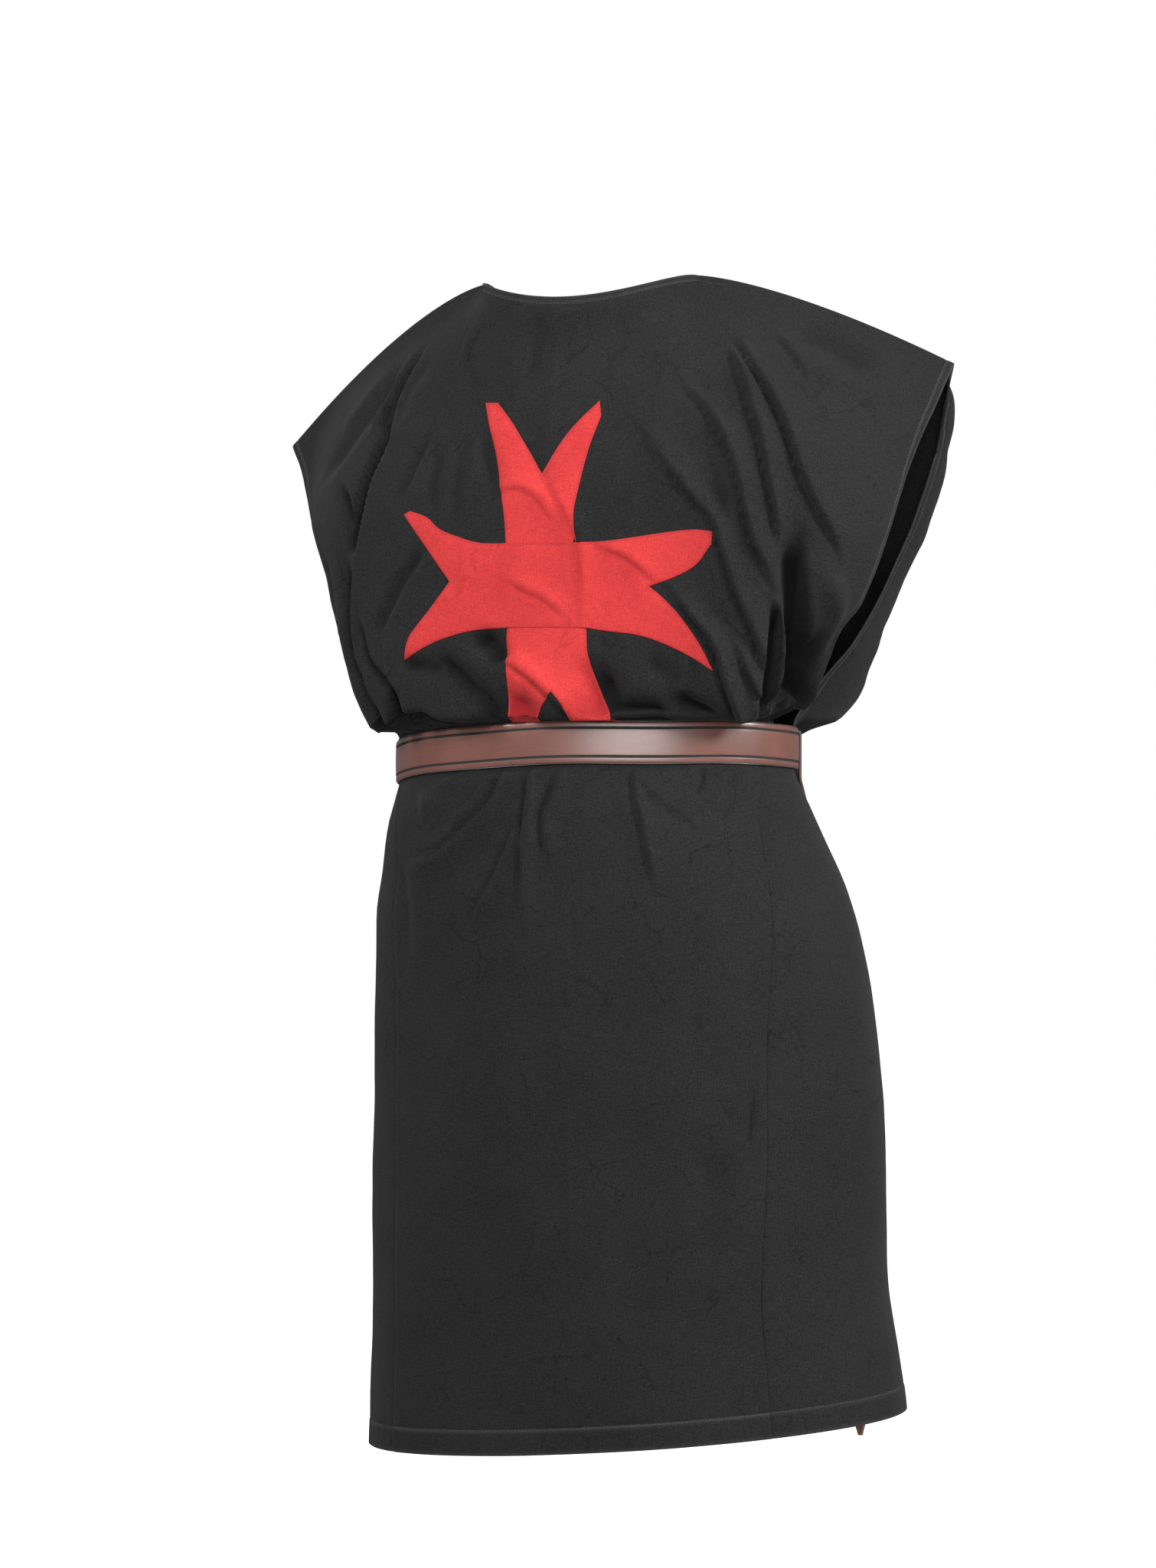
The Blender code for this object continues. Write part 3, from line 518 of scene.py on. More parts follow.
def new_mesh(
    name: str,
    points: Array,
    faces: Sequence[Array],
    place: Array,
    layers: Dict[str, Array],
) -> bpy.types.Mesh:
    """A smooth closed mesh with its flat place as a UV map and with numbers at its points.

    Args:
        name: The mesh's name.
        points: One row of x, y, z for each point.
        faces: Arrays of point numbers, one row for each face.
        place: The flat place of each point.
        layers: Numbers for each point, by name.

    Returns:
        The mesh, with its normals outward.
    """
    volume = 0.0
    for group in faces:
        corner = points[group]
        for step in range(1, group.shape[1] - 1):
            volume += (corner[:, 0] * np.cross(corner[:, step], corner[:, step + 1])).sum()
    if volume < 0:
        faces = [group[:, ::-1] for group in faces]
    index = np.concatenate([group.ravel() for group in faces]).astype(np.int32)
    sizes = np.concatenate([np.full(len(group), group.shape[1]) for group in faces])
    mesh = bpy.data.meshes.new(name)
    mesh.vertices.add(len(points))
    mesh.vertices.foreach_set("co", points.astype(np.float32).ravel())
    mesh.loops.add(len(index))
    mesh.loops.foreach_set("vertex_index", index)
    mesh.polygons.add(len(sizes))
    mesh.polygons.foreach_set("loop_start", (np.cumsum(sizes) - sizes).astype(np.int32))
    mesh.update(calc_edges=True)
    uv = mesh.uv_layers.new(name=CLOTH_UV)
    uv.data.foreach_set("uv", place[index].astype(np.float32).ravel())
    for layer, values in layers.items():
        made = mesh.attributes.new(layer, "FLOAT", "POINT")
        made.data.foreach_set("value", values.astype(np.float32).ravel())
    mesh.polygons.foreach_set("use_smooth", np.ones(len(sizes), bool))
    return mesh


def placed(name: str, data: bpy.types.ID) -> Piece:
    """A new object in the scene."""
    made = bpy.data.objects.new(name, data)
    bpy.context.scene.collection.objects.link(made)
    return made


def link(name: str, mesh: bpy.types.Mesh, material: Material) -> Piece:
    """Put a mesh in the scene as a piece that moves with the surcoat."""
    mesh.materials.append(material)
    piece = placed(name, mesh)
    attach(piece, ROOT)
    log.info("%s: %d faces", name, len(mesh.polygons))
    return piece


def dress(node: str, mesh: bpy.types.Mesh, material: Material, slot: str) -> Piece:
    """Put a mesh in the scene in the place of a node's plain solid."""
    piece = link(f"{node}_{slot.split('_')[-1]}", mesh, material)
    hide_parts(node)
    return piece


@dataclass
class Shell:
    """A closed wall between an outer grid of points and the same grid moved in.

    Attributes:
        outer: The outer face, as rows of points.
        normals: Unit normals out of the wall.
        thickness: The wall's thickness at each point.
        place: The flat place of each point.
        wear: Wear and painted shade at each point: above zero, worn edges on the black, painted edge shade
            on the red and painted dark holes on the belt; below zero, painted shade deep in a fold.
        looped: Whether the last row joins the first.
        halved: Whether the inner face has half as many rows and columns.
        roundness: How far the edge swells, as a share of the wall.
    """

    outer: Array
    normals: Array
    thickness: Array
    place: Array
    wear: Array
    looped: bool = False
    halved: bool = False
    roundness: float = 0.35

    def loops(self, number: Array) -> Array:
        """The edges of a grid of point numbers, as closed loops."""
        if self.looped:
            return np.stack([number[:, 0], number[::-1, -1]])
        return np.concatenate([number[0, :-1], number[:-1, -1], number[-1, :0:-1], number[:0:-1, 0]])[None]

    def quads(self, number: Array) -> Array:
        """Quads over a grid of point numbers."""
        if self.looped:
            number = np.concatenate([number, number[:1]])
        return quads_of(number)

    def join(self, near: Array, far: Array) -> List[Array]:
        """Faces between two loops of points, where the far one may have half as many."""
        if len(near) == len(far):
            return [np.stack([near, np.roll(near, -1), np.roll(far, -1), far], axis=1)]
        first, middle, last = near[::2], near[1::2], np.roll(near[::2], -1)
        after = np.roll(far, -1)
        corners = ((first, middle, far), (middle, after, far), (middle, last, after))
        return [np.stack(three, axis=1) for three in corners]

    def mesh(self, name: str) -> bpy.types.Mesh:
        """Build the wall."""
        rows, columns = self.outer.shape[:2]
        count = rows * columns
        number = np.arange(count).reshape(rows, columns)
        step = 2 if self.halved else 1
        kept = number[::step, ::step].ravel()
        within = np.arange(len(kept)).reshape(number[::step, ::step].shape) + count
        outer = self.outer.reshape(-1, 3)
        moved = outer - self.normals.reshape(-1, 3) * self.thickness.reshape(-1, 1)
        row, column = np.indices((rows, columns))
        row = row if self.looped else np.clip(row, 1, rows - 2)
        away = unit(self.outer - self.outer[row, np.clip(column, 1, columns - 2)]).reshape(-1, 3)
        points = [outer, moved[kept]]
        faces = [self.quads(number), self.quads(within)[:, ::-1]]
        source = [np.arange(count), kept]
        start = count + len(kept)
        for loop, inner in zip(self.loops(number), self.loops(within)):
            swell = self.thickness.reshape(-1)[loop, None] * self.roundness
            points.append((outer[loop] + moved[loop]) / 2 + away[loop] * swell)
            middle = start + np.arange(len(loop))
            faces += self.join(loop, middle) + self.join(middle, inner)
            source.append(loop)
            start += len(loop)
        points = np.concatenate(points)
        source = np.concatenate(source)
        inside = np.zeros(len(points))
        inside[count : count + len(kept)] = 1
        layers = {WEAR_AND_SHADE: self.wear.reshape(-1)[source], LINING: inside}
        return new_mesh(name, points, faces, self.place.reshape(-1, 2)[source], layers)


DOME = 0.6


class Tube(NamedTuple):
    """A round rod along points."""

    path: Array
    radius: Array
    closed: bool
    sides: int = 14

    def mesh(self, name: str) -> bpy.types.Mesh:
        """Build the rod, with domed ends if it is open."""
        path = self.path
        if self.closed:
            ahead = unit(np.roll(path, -1, axis=0) - np.roll(path, 1, axis=0))
        else:
            ahead = unit(np.gradient(path, axis=0))
        side = unit(np.cross(ahead, np.array([1e-4, 1e-4, 1.0])))
        rise = np.cross(side, ahead)
        turn = np.arange(self.sides) / self.sides * 2 * math.pi
        ring = np.cos(turn)[None, :, None] * side[:, None] + np.sin(turn)[None, :, None] * rise[:, None]
        points = (path[:, None] + ring * self.radius[:, None, None]).reshape(-1, 3)
        number = np.arange(len(points)).reshape(len(path), self.sides)
        faces = []
        if self.closed:
            number = np.concatenate([number, number[:1]])
        else:
            ends = ((0, -1), (-1, 1))
            tips = [path[end] + way * ahead[end] * self.radius[end] * DOME for end, way in ends]
            for place, rim in ((len(points), number[0, ::-1]), (len(points) + 1, number[-1])):
                faces.append(np.stack([np.full(self.sides, place), rim, np.roll(rim, -1)], axis=1))
            points = np.concatenate([points, tips])
        around = np.concatenate([number, number[:, :1]], axis=1)
        quads = [around[:-1, :-1], around[:-1, 1:], around[1:, 1:], around[1:, :-1]]
        faces.append(np.stack(quads, axis=-1).reshape(-1, 4))
        return new_mesh(name, points, faces, points[:, [0, 2]], {})


# ---- The cut and how it hangs ----


class Upper(NamedTuple):
    """One level of a panel above the belt: its centre line, and each side's widest point and edge."""

    drop: float
    depth: float
    squareness: float
    left_wide: float
    left_wide_y: float
    left_edge: float
    left_edge_y: float
    left_drop: float
    right_wide: float
    right_wide_y: float
    right_edge: float
    right_edge_y: float
    right_drop: float


class Ring(NamedTuple):
    """One level of the skirt: an oval on a tilted plane, and the bearings of the four seams, in degrees."""

    drop: float
    centre: float
    half: float
    back: float
    front: float
    tilt_x: float
    tilt_y: float
    back_left: float
    back_right: float
    front_left: float
    front_right: float


class Crease(Enum):
    """How a fold's section looks."""

    SOFT = "a round trough or ridge"
    SHARP = "a narrow line with long soft sides"
    LAPPED = "a low foot and a narrow groove, then a steep wall up to a crest on its right"
    POCKET = "a deep hollow with steep sides"


class Fold(NamedTuple):
    """A fold along a bent line on a panel, in millimetres.

    Each point is (side, drop): the distance round from the panel's centre line, + to the wearer's
    left, and the height below the origin. Height is + outwards. It deepens over the first part of
    its length, by the share that grow gives.
    """

    line: Sequence[Point]
    half_width: float
    height: float
    kind: Crease = Crease.SOFT
    grow: float = 0.3


MM = 0.001
DEPTH = 1.4
GROOVE = 3.3
WALL = 5.0
LAP_FOOT = 0.22
LAP_RISE = 0.66
LAP_GROOVE = 0.22
CLOTH = 0.0016
SEAM_GAP = 0.0003
NECK_HALF = 0.104
SHOULDER_HALF = 0.334
SHOULDER_FORWARD = 0.065
SHOULDER_SWEEP = 1.2
SHOULDER_DROP = {+1: 0.143, -1: 0.084}
SHOULDER_BEND = 1.43
NECK_SHARE = 0.30
SHOULDER_BLEND = 0.20
NECKLINE = {+1: (0.075, 0.024), -1: (0.085, 0.078)}
SLIT_END = 0.560
SLIT_WIDTH = 0.012
BELT_WIDTH = 0.039
LINE_FROM_MIDDLE = 0.0130
STRAP_ROUND = 0.15
LEATHER = 0.003
BELT_HALF = 0.192
BELT_DEPTH = 0.137
BELT_CENTRE = -0.004
BELT_DROP = 0.448
BELT_TILT_X = -0.040
BELT_TILT_Y = 0.075
WAIST_HALF = BELT_HALF - SEAM_GAP - CLOTH
WAIST_DEPTH = BELT_DEPTH - SEAM_GAP - CLOTH
EDGE_EASE = 1.6
SOFTEN_RATE = 1.6
TIP_FIRM = 0.20
FOLD_STEPS = 9
# How far round and how deep the painted shade in folds reaches.
FOLD_SHADE_REACH = 6
FOLD_SHADE_DEPTH = 0.0045
FOLD_FADE = 0.009
LIP_LEVEL = 0.396
LIP_SPAN = 0.085
LIP_BLEND = 0.025
TOP_FADE = 0.030
SAG_START = 1.015
SAG_SPAN = 0.075
SAG_REACH = 0.075
SAG_EASE = 0.045
SAG_UNEVEN = 0.45
OPEN_FADE = 0.01
BELT_CLEAR = 0.002
SHELL = 0.0011
HEM_SHELL = 0.0017
ARC_STEPS = 96

# drop, depth, squareness | left: widest x, y, edge x, y, drop | right: the same
UPPER = {
    +1: [
        Upper(0.024, 0.075, 2.0, 0.334, -0.065, 0.334, -0.065, 0.143, 0.334, -0.065, 0.334, -0.065, 0.084),
        Upper(0.080, 0.103, 2.1, 0.317, -0.052, 0.317, -0.052, 0.175, 0.326, -0.034, 0.326, -0.034, 0.121),
        Upper(0.140, 0.124, 2.3, 0.298, -0.030, 0.298, -0.030, 0.219, 0.317, -0.004, 0.317, -0.004, 0.159),
        Upper(0.200, 0.137, 2.4, 0.274, -0.006, 0.274, -0.006, 0.257, 0.308, 0.026, 0.308, 0.026, 0.209),
        Upper(0.260, 0.144, 2.4, 0.259, 0.012, 0.259, 0.012, 0.306, 0.291, 0.052, 0.291, 0.052, 0.279),
        Upper(0.320, 0.149, 2.4, 0.247, 0.018, 0.247, 0.018, 0.345, 0.269, 0.058, 0.269, 0.058, 0.332),
        Upper(0.370, 0.156, 2.4, 0.230, 0.016, 0.230, 0.016, 0.385, 0.249, 0.056, 0.249, 0.056, 0.379),
        Upper(0.406, 0.159, 2.2, 0.211, 0.010, 0.211, 0.010, 0.420, 0.222, 0.034, 0.222, 0.034, 0.407),
    ],
    -1: [
        Upper(0.078, 0.085, 2.0, 0.334, -0.065, 0.334, -0.065, 0.143, 0.334, -0.065, 0.334, -0.065, 0.084),
        Upper(0.130, 0.110, 2.1, 0.318, -0.086, 0.314, -0.070, 0.185, 0.328, -0.098, 0.322, -0.072, 0.128),
        Upper(0.180, 0.129, 2.2, 0.296, -0.092, 0.290, -0.066, 0.230, 0.318, -0.108, 0.309, -0.076, 0.180),
        Upper(0.230, 0.140, 2.3, 0.272, -0.094, 0.264, -0.060, 0.270, 0.296, -0.116, 0.286, -0.082, 0.238),
        Upper(0.280, 0.147, 2.4, 0.258, -0.094, 0.246, -0.052, 0.315, 0.262, -0.120, 0.256, -0.076, 0.300),
        Upper(0.330, 0.154, 2.4, 0.246, -0.092, 0.230, -0.042, 0.354, 0.246, -0.116, 0.236, -0.058, 0.344),
        Upper(0.372, 0.166, 2.4, 0.232, -0.088, 0.212, -0.034, 0.390, 0.234, -0.108, 0.212, -0.042, 0.376),
        Upper(0.414, 0.168, 2.2, 0.214, -0.072, 0.200, -0.024, 0.418, 0.214, -0.088, 0.196, -0.030, 0.402),
    ],
}
# drop, centre, half width, back, front | tilt x, y | seam bearings
SKIRT = [
    Ring(0.424, BELT_CENTRE, WAIST_HALF, WAIST_DEPTH, WAIST_DEPTH, -0.040, 0.075, 76, 76, 84, 84),
    Ring(0.448, BELT_CENTRE, WAIST_HALF, WAIST_DEPTH, WAIST_DEPTH, -0.040, 0.075, 72, 73, 82, 82),
    Ring(0.470, BELT_CENTRE, WAIST_HALF, WAIST_DEPTH, WAIST_DEPTH, -0.040, 0.075, 68, 70, 79, 79),
    Ring(0.485, -0.005, 0.195, 0.140, 0.141, -0.042, 0.065, 62, 66, 76, 76),
    Ring(0.510, -0.007, 0.204, 0.147, 0.149, -0.046, 0.048, 57, 61, 72, 72),
    Ring(0.545, -0.012, 0.214, 0.152, 0.154, -0.052, 0.025, 53, 58, 67, 67),
    Ring(0.590, -0.018, 0.227, 0.155, 0.158, -0.058, 0.000, 52, 55, 63, 63),
    Ring(0.630, -0.024, 0.233, 0.156, 0.160, -0.062, -0.010, 52, 52, 61, 61),
    Ring(0.715, -0.030, 0.241, 0.157, 0.160, -0.068, -0.030, 51, 47, 58, 58),
    Ring(0.810, -0.034, 0.246, 0.157, 0.160, -0.074, -0.040, 51, 45, 57, 57),
    Ring(0.940, -0.035, 0.248, 0.158, 0.160, -0.082, -0.045, 51, 43, 56, 56),
    Ring(1.040, -0.040, 0.256, 0.160, 0.161, -0.088, -0.035, 51, 42, 55, 55),
    Ring(1.078, -0.042, 0.259, 0.161, 0.161, -0.090, -0.030, 51, 42, 55, 55),
]
GORE_TOP = 0.448

SOFT = Crease.SOFT
SHARP = Crease.SHARP
LAPPED = Crease.LAPPED
POCKET = Crease.POCKET

# Each fold's line, half width and height, then its kind and grow where they aren't the usual ones.
BACK_FOLDS = [
    # wearer's left: drag lines from the shoulder, and the layers gathered beside the belt
    ([(174, 52), (183, 74), (187, 94), (189, 114), (188, 126), (185, 140), (180, 156)], 4.5, -9),
    ([(190, 60), (197, 95), (200, 125), (200, 150)], 7, 3.6),
    ([(150, 66), (164, 91), (171, 115), (168, 138)], 9, -1.8),
    ([(182, 140), (187, 164), (194, 187), (200, 218), (206, 240), (211, 264)], 6, -22, POCKET, 0.2),
    ([(212, 246), (217, 277), (217, 319), (214, 356), (204, 376), (196, 392), (187, 405),
      (182, 425)], 8, -12),
    ([(205, 262), (207, 300), (205, 350), (196, 374), (186, 392), (174, 420)], 4.5, 2.6),
    ([(199, 296), (196, 319), (191, 337), (182, 360), (163, 379), (152, 394),
      (148, 425)], 6, -7, SOFT, 0.5),
    ([(190, 310), (184, 337), (173, 357), (153, 375), (142, 392)], 4.5, 2.4, SOFT, 0.5),
    ([(154, 380), (157, 400), (160, 425)], 4.5, -13, POCKET),
    ([(192, 400), (188, 413), (182, 425)], 4, -10, POCKET),
    ([(198, 62), (205, 98), (229, 129), (258, 160), (296, 190)], 13, -5),
    ([(215, 80), (240, 112), (272, 142)], 16, 2.5),
    ([(240, 192), (224, 206), (216, 222), (211, 256)], 6, -8),
    ([(298, 222), (280, 320), (262, 425)], 30, -10),
    ([(171, 244), (174, 284), (172, 308), (173, 332)], 4, 1.2),
    ([(121, 246), (127, 267), (142, 285), (160, 318), (174, 343)], 7, -5),
    ([(122, 140), (129, 164), (139, 190), (152, 216)], 6, -3.4),
    ([(109, 150), (107, 179), (110, 197), (105, 232)], 7, -3.2),
    ([(85, 150), (83, 180), (84, 204), (80, 245)], 7, -2.8),
    ([(65, 140), (57, 169), (47, 193), (41, 220)], 7, -3),
    ([(142, 362), (117, 366), (90, 371)], 8, -6),
    ([(102, 343), (91, 362), (77, 372), (63, 383), (51, 392), (44, 403), (46, 422)], 9, -10, SOFT, 0.25),
    ([(66, 345), (47, 343), (36, 353), (28, 366)], 9, -9),
    ([(154, 428), (151, 416), (138, 410), (120, 409), (110, 416), (107, 428)], 5, -18),
    ([(142, 421), (120, 421)], 7, 9),
    ([(106, 423), (80, 421), (60, 419)], 6, -6),
    # under the neck
    ([(72, 20), (63, 47), (66, 84)], 5, -2.4, LAPPED),
    ([(59, 20), (50, 52), (51, 104)], 5, -2, LAPPED),
    ([(43, 26), (39, 70), (46, 140)], 9, -2.2, LAPPED),
    ([(84, 30), (99, 66), (89, 92), (80, 118)], 4, -1.6),
    ([(116, 36), (112, 66), (117, 100)], 8, -2.4, LAPPED),
    ([(28, 26), (25, 60), (30, 120)], 9, -2),
    ([(-48, 36), (-72, 75), (-104, 112)], 15, -1.6),
    # wearer's right: drag lines from the neck down to the gathered corner
    ([(-44, 112), (-82, 146), (-105, 174), (-125, 197), (-144, 219), (-161, 237), (-169, 258),
      (-176, 278), (-183, 300), (-193, 322), (-201, 340), (-207, 356), (-212, 373),
      (-216, 425)], 12, -13, LAPPED),
    ([(-95, 76), (-121, 112), (-137, 126), (-152, 144), (-167, 167), (-177, 186), (-185, 207),
      (-190, 226), (-195, 243), (-201, 261), (-207, 272), (-215, 291), (-222, 312)], 11, -14, LAPPED),
    ([(-130, 94), (-142, 118), (-157, 136), (-172, 152)], 7, -2.4),
    ([(-148, 150), (-164, 184), (-172, 209), (-180, 252)], 7, -2.2),
    ([(-218, 90), (-235, 100), (-251, 108), (-268, 124)], 4, -1.2, SHARP),
    ([(-148, 66), (-156, 80), (-166, 96), (-177, 117), (-187, 140), (-198, 162), (-205, 183),
      (-211, 204), (-217, 224), (-220, 243), (-224, 266), (-230, 304)], 9, -12, LAPPED, 0.25),
    ([(-150, 52), (-163, 71), (-177, 94), (-190, 111), (-206, 132), (-219, 153), (-228, 171),
      (-237, 192), (-248, 213), (-257, 230), (-268, 249), (-277, 266), (-285, 300)], 13, -13, LAPPED, 0.2),
    ([(-196, 58), (-209, 75), (-221, 92), (-240, 114)], 12, -6, LAPPED),
    ([(-205, 46), (-235, 56), (-268, 72), (-305, 100)], 18, -6, SOFT, 0.5),
    ([(-237, 232), (-236, 263), (-238, 290), (-243, 329), (-246, 353), (-244, 375), (-236, 396),
      (-224, 425)], 11, -30, POCKET, 0.4),
    ([(-268, 330), (-260, 372), (-242, 425)], 19, -17, SOFT, 0.5),
    ([(-305, 300), (-288, 350), (-262, 412)], 28, -9, SOFT, 0.5),
    ([(-228, 300), (-230, 333), (-230, 356), (-227, 384), (-220, 410)], 3.4, 8),
    ([(-221, 306), (-223, 334), (-222, 360), (-219, 385), (-212, 425)], 6, -24, POCKET),
    ([(-262, 262), (-278, 305), (-284, 340), (-268, 390)], 12, 6),
    ([(-108, 282), (-132, 309), (-143, 323), (-154, 336), (-163, 348), (-169, 360), (-174, 376),
      (-180, 389), (-192, 425)], 11, -17, LAPPED),
    ([(-182, 340), (-195, 370), (-202, 381), (-211, 393), (-220, 410)], 8, -11, LAPPED),
    # the blouse over the belt
    ([(-120, 388), (-141, 394), (-154, 400), (-165, 407), (-170, 425)], 7, -10),
    ([(-56, 364), (-70, 379), (-77, 391), (-84, 399), (-114, 405)], 10, -10),
    ([(-90, 410), (-108, 412)], 7, 5),
    ([(-104, 358), (-125, 371), (-142, 382)], 9, -4),
    ([(-60, 345), (-76, 354)], 6, -2),
    ([(-42, 356), (-60, 384), (-70, 420)], 13, -6),
    ([(-88, 418), (-114, 419), (-156, 422)], 12, -11),
    ([(150, 424), (100, 421), (62, 420)], 9, -4),
    ([(36, 360), (0, 380), (-32, 406)], 10, -9, LAPPED),
    ([(54, 376), (26, 386), (-6, 403)], 12, -4),
    ([(26, 378), (21, 400), (14, 426)], 22, -11, SOFT, 0.6),
    ([(86, 392), (60, 405), (45, 425)], 9, -5, LAPPED),
    ([(-30, 388), (-36, 406), (-44, 426)], 20, -8, SOFT, 0.6),
    # soft creases that run through the cross
    ([(8, 176), (-10, 205), (-27, 234), (-38, 259), (-42, 291), (-41, 340)], 11, -6, LAPPED, 0.5),
    ([(-44, 252), (-66, 263), (-86, 272), (-118, 298)], 11, -6, LAPPED, 0.5),
    ([(40, 284), (10, 300), (-8, 308), (-32, 328)], 10, -5, LAPPED),
    ([(60, 212), (26, 206), (4, 215), (-20, 246)], 11, -5.5, LAPPED),
    ([(20, 155), (2, 186), (-18, 206)], 12, -2),
    # pleats that the belt gathers in the skirt, and the swag under its left end
    ([(15, 462), (18, 491), (24, 530), (38, 615)], 9, -10, LAPPED),
    ([(6, 462), (8, 491), (14, 550)], 6, 3),
    ([(-81, 460), (-83, 486), (-89, 515), (-95, 580)], 8, -8, LAPPED),
    ([(-146, 460), (-147, 470), (-143, 480)], 5, -3.5, SHARP),
    ([(-13, 462), (-7, 484), (2, 505), (4, 545)], 9, -7, LAPPED),
    ([(42, 466), (56, 492), (91, 519), (126, 538), (178, 546)], 12, -11, LAPPED),
    ([(24, 505), (40, 531), (60, 563), (92, 606)], 12, -9, LAPPED),
    ([(58, 466), (75, 487), (108, 508)], 9, -6, LAPPED),
    ([(100, 470), (120, 488), (150, 500)], 12, 4),
    ([(-88, 476), (-113, 497), (-127, 505), (-146, 520)], 4.5, -2.4, SHARP),
    ([(-176, 464), (-174, 486), (-168, 512)], 7, -2.5),
    ([(-160, 464), (-156, 484), (-152, 500)], 6, -1.8),
    ([(184, 548), (172, 584), (178, 640)], 10, -2.5),
    ([(-175, 750), (-169, 777), (-165, 801)], 4.5, -2.8, SHARP),
    ([(-142, 800), (-134, 844), (-126, 920)], 18, -3),
    ([(-115, 810), (-108, 850), (-108, 900)], 18, 1.5),
    ([(-41, 871), (-63, 905), (-47, 967)], 22, -1.5),
    ([(100, 900), (118, 960), (125, 1030)], 16, -1.5),
    ([(60, 640), (66, 760), (58, 900)], 28, 2),
    ([(-70, 600), (-60, 720), (-70, 860)], 30, -1.5),
    ([(-152, 560), (-146, 640), (-150, 730)], 18, 1.8),
    # sharp lines left from being folded away
    ([(6, 35), (3, 105), (-4, 190)], 2.8, 1, SHARP),
    ([(6, 508), (-36, 508), (-75, 507)], 2.8, -1, SHARP),
    ([(-20, 579), (-16, 620), (-12, 665)], 2.8, -0.8, SHARP),
    ([(190, 866), (100, 861), (32, 860), (-60, 863), (-171, 868)], 3.2, -0.9, SHARP),
    ([(4, 650), (0, 800), (-4, 1000)], 3.2, 0.5, SHARP),
]
FRONT_FOLDS = [
    ([(150, 40), (172, 110), (186, 180), (190, 250)], 14, -9, LAPPED),
    ([(-140, 40), (-165, 110), (-190, 180), (-205, 235)], 13, -8, LAPPED),
    ([(110, 110), (98, 190), (78, 260), (60, 330)], 15, -6, LAPPED),
    ([(-110, 100), (-95, 170), (-75, 240), (-50, 310)], 14, -6, LAPPED),
    ([(0, 98), (10, 160), (5, 235)], 18, -4),
    ([(60, 85), (78, 130), (110, 180)], 11, -3, LAPPED),
    ([(-55, 90), (-72, 128), (-100, 170)], 10, -3, LAPPED),
    ([(200, 200), (196, 270), (176, 350), (150, 410)], 12, -9, LAPPED),
    ([(-215, 200), (-205, 280), (-186, 350), (-160, 405)], 13, -11, LAPPED),
    ([(225, 260), (214, 330), (190, 395)], 10, 5),
    ([(-232, 250), (-224, 320), (-200, 385)], 10, 5),
    ([(180, 300), (160, 370), (130, 418)], 10, -8, LAPPED),
    ([(-165, 290), (-150, 360), (-130, 415)], 10, -8, LAPPED),
    ([(98, 345), (86, 395), (76, 430)], 10, -7, LAPPED),
    ([(-82, 335), (-70, 390), (-60, 430)], 10, -7, LAPPED),
    ([(30, 362), (24, 400), (20, 430)], 9, -6, LAPPED),
    ([(-18, 370), (-12, 405), (-14, 430)], 9, -5, LAPPED),
    ([(50, 300), (20, 330), (-30, 345)], 13, -4),
    ([(16, 472), (22, 520), (36, 620)], 8, -5, LAPPED),
    ([(74, 472), (80, 510), (98, 570)], 8, -4.5, LAPPED),
    ([(126, 472), (136, 505), (152, 550)], 9, -4, LAPPED),
    ([(-34, 472), (-38, 520), (-50, 600)], 8, -5, LAPPED),
    ([(-92, 472), (-98, 500), (-106, 540)], 8, -3),
    ([(60, 560), (70, 780), (62, 1000)], 30, 5),
    ([(-50, 560), (-60, 720), (-52, 900)], 30, 3),
    ([(5, 600), (10, 780), (4, 960)], 28, -3),
    ([(150, 640), (156, 760), (150, 900)], 20, -2),
    ([(180, 866), (60, 862), (-80, 865), (-190, 868)], 3.2, -0.9, SHARP),
]


class Edge(Enum):
    """The edges of a panel's grid."""

    TOP = "top"
    HEM = "hem"
    RIGHT = "right"
    LEFT = "left"


# Columns and rows crowd together where a hem is turned. Shares are of half a level's width.
EDGE_SHARES = [0.0, 0.003, 0.008, 0.014, 0.018, 0.0205, 0.0225, 0.025, 0.029, 0.036, 0.046, 0.058]
TOP_STEPS = [0.0, 0.0010, 0.0030, 0.0055, 0.0070, 0.0077, 0.0084, 0.0095, 0.0120, 0.0150]
HEM_STEPS = [0.0, 0.0012, 0.004, 0.009, 0.014, 0.019, 0.0215, 0.0226, 0.0234, 0.0245, 0.027]
TURNED_EDGE = 0.0076
TURNED_HEM = 0.0230
TURN_SOFT = 0.0012
TURN_RISE = 0.0004
STITCH_HALF = 0.0009
STITCH_SINK = 0.0005
STITCH_LIFT = 0.0002
PUCKER_REACH = 0.006
PUCKER_RISE = 0.0004
SEAM_HALF = 0.0022
SEAM_SINK = 0.0008
SHOULDER_SINK = 0.0007
ALLOWANCE = 0.009
ALLOWANCE_RISE = 0.00025
ALLOWANCE_SOFT = 0.002
EDGE_WEAR = 0.55
STITCH_WEAR = 0.5
GORE_STITCH_WEAR = 0.3
EDGE_COLUMNS = 60
PANEL_WAVES = ((0.0022, 0.085), (0.0007, 0.028), (0.00022, 0.011))
GORE_CALM = 0.05
GORE_FADE = 0.06
GORE_SHARES = np.array([0.0, 0.006, 0.016, 0.03])
GORE_WAVES = ((0.0020, 0.085), (0.0005, 0.030))
CHEST_STEP = 0.0025
HIP_START = 0.486
HIP_END = 0.620
HIP_STEP = 0.0036
SKIRT_STEP = 0.0110
CROWDING = 0.5


def half_shares(count: int) -> Array:
    """Shares of half a level, from its centre line out to its edge, crowded at the edge."""
    fine = 1 - np.array(EDGE_SHARES[::-1])
    even = np.linspace(0, 1, count - len(EDGE_SHARES) + 1)[:-1]
    return np.concatenate([fine[0] * even * (1 + CROWDING * (1 - even)), fine])


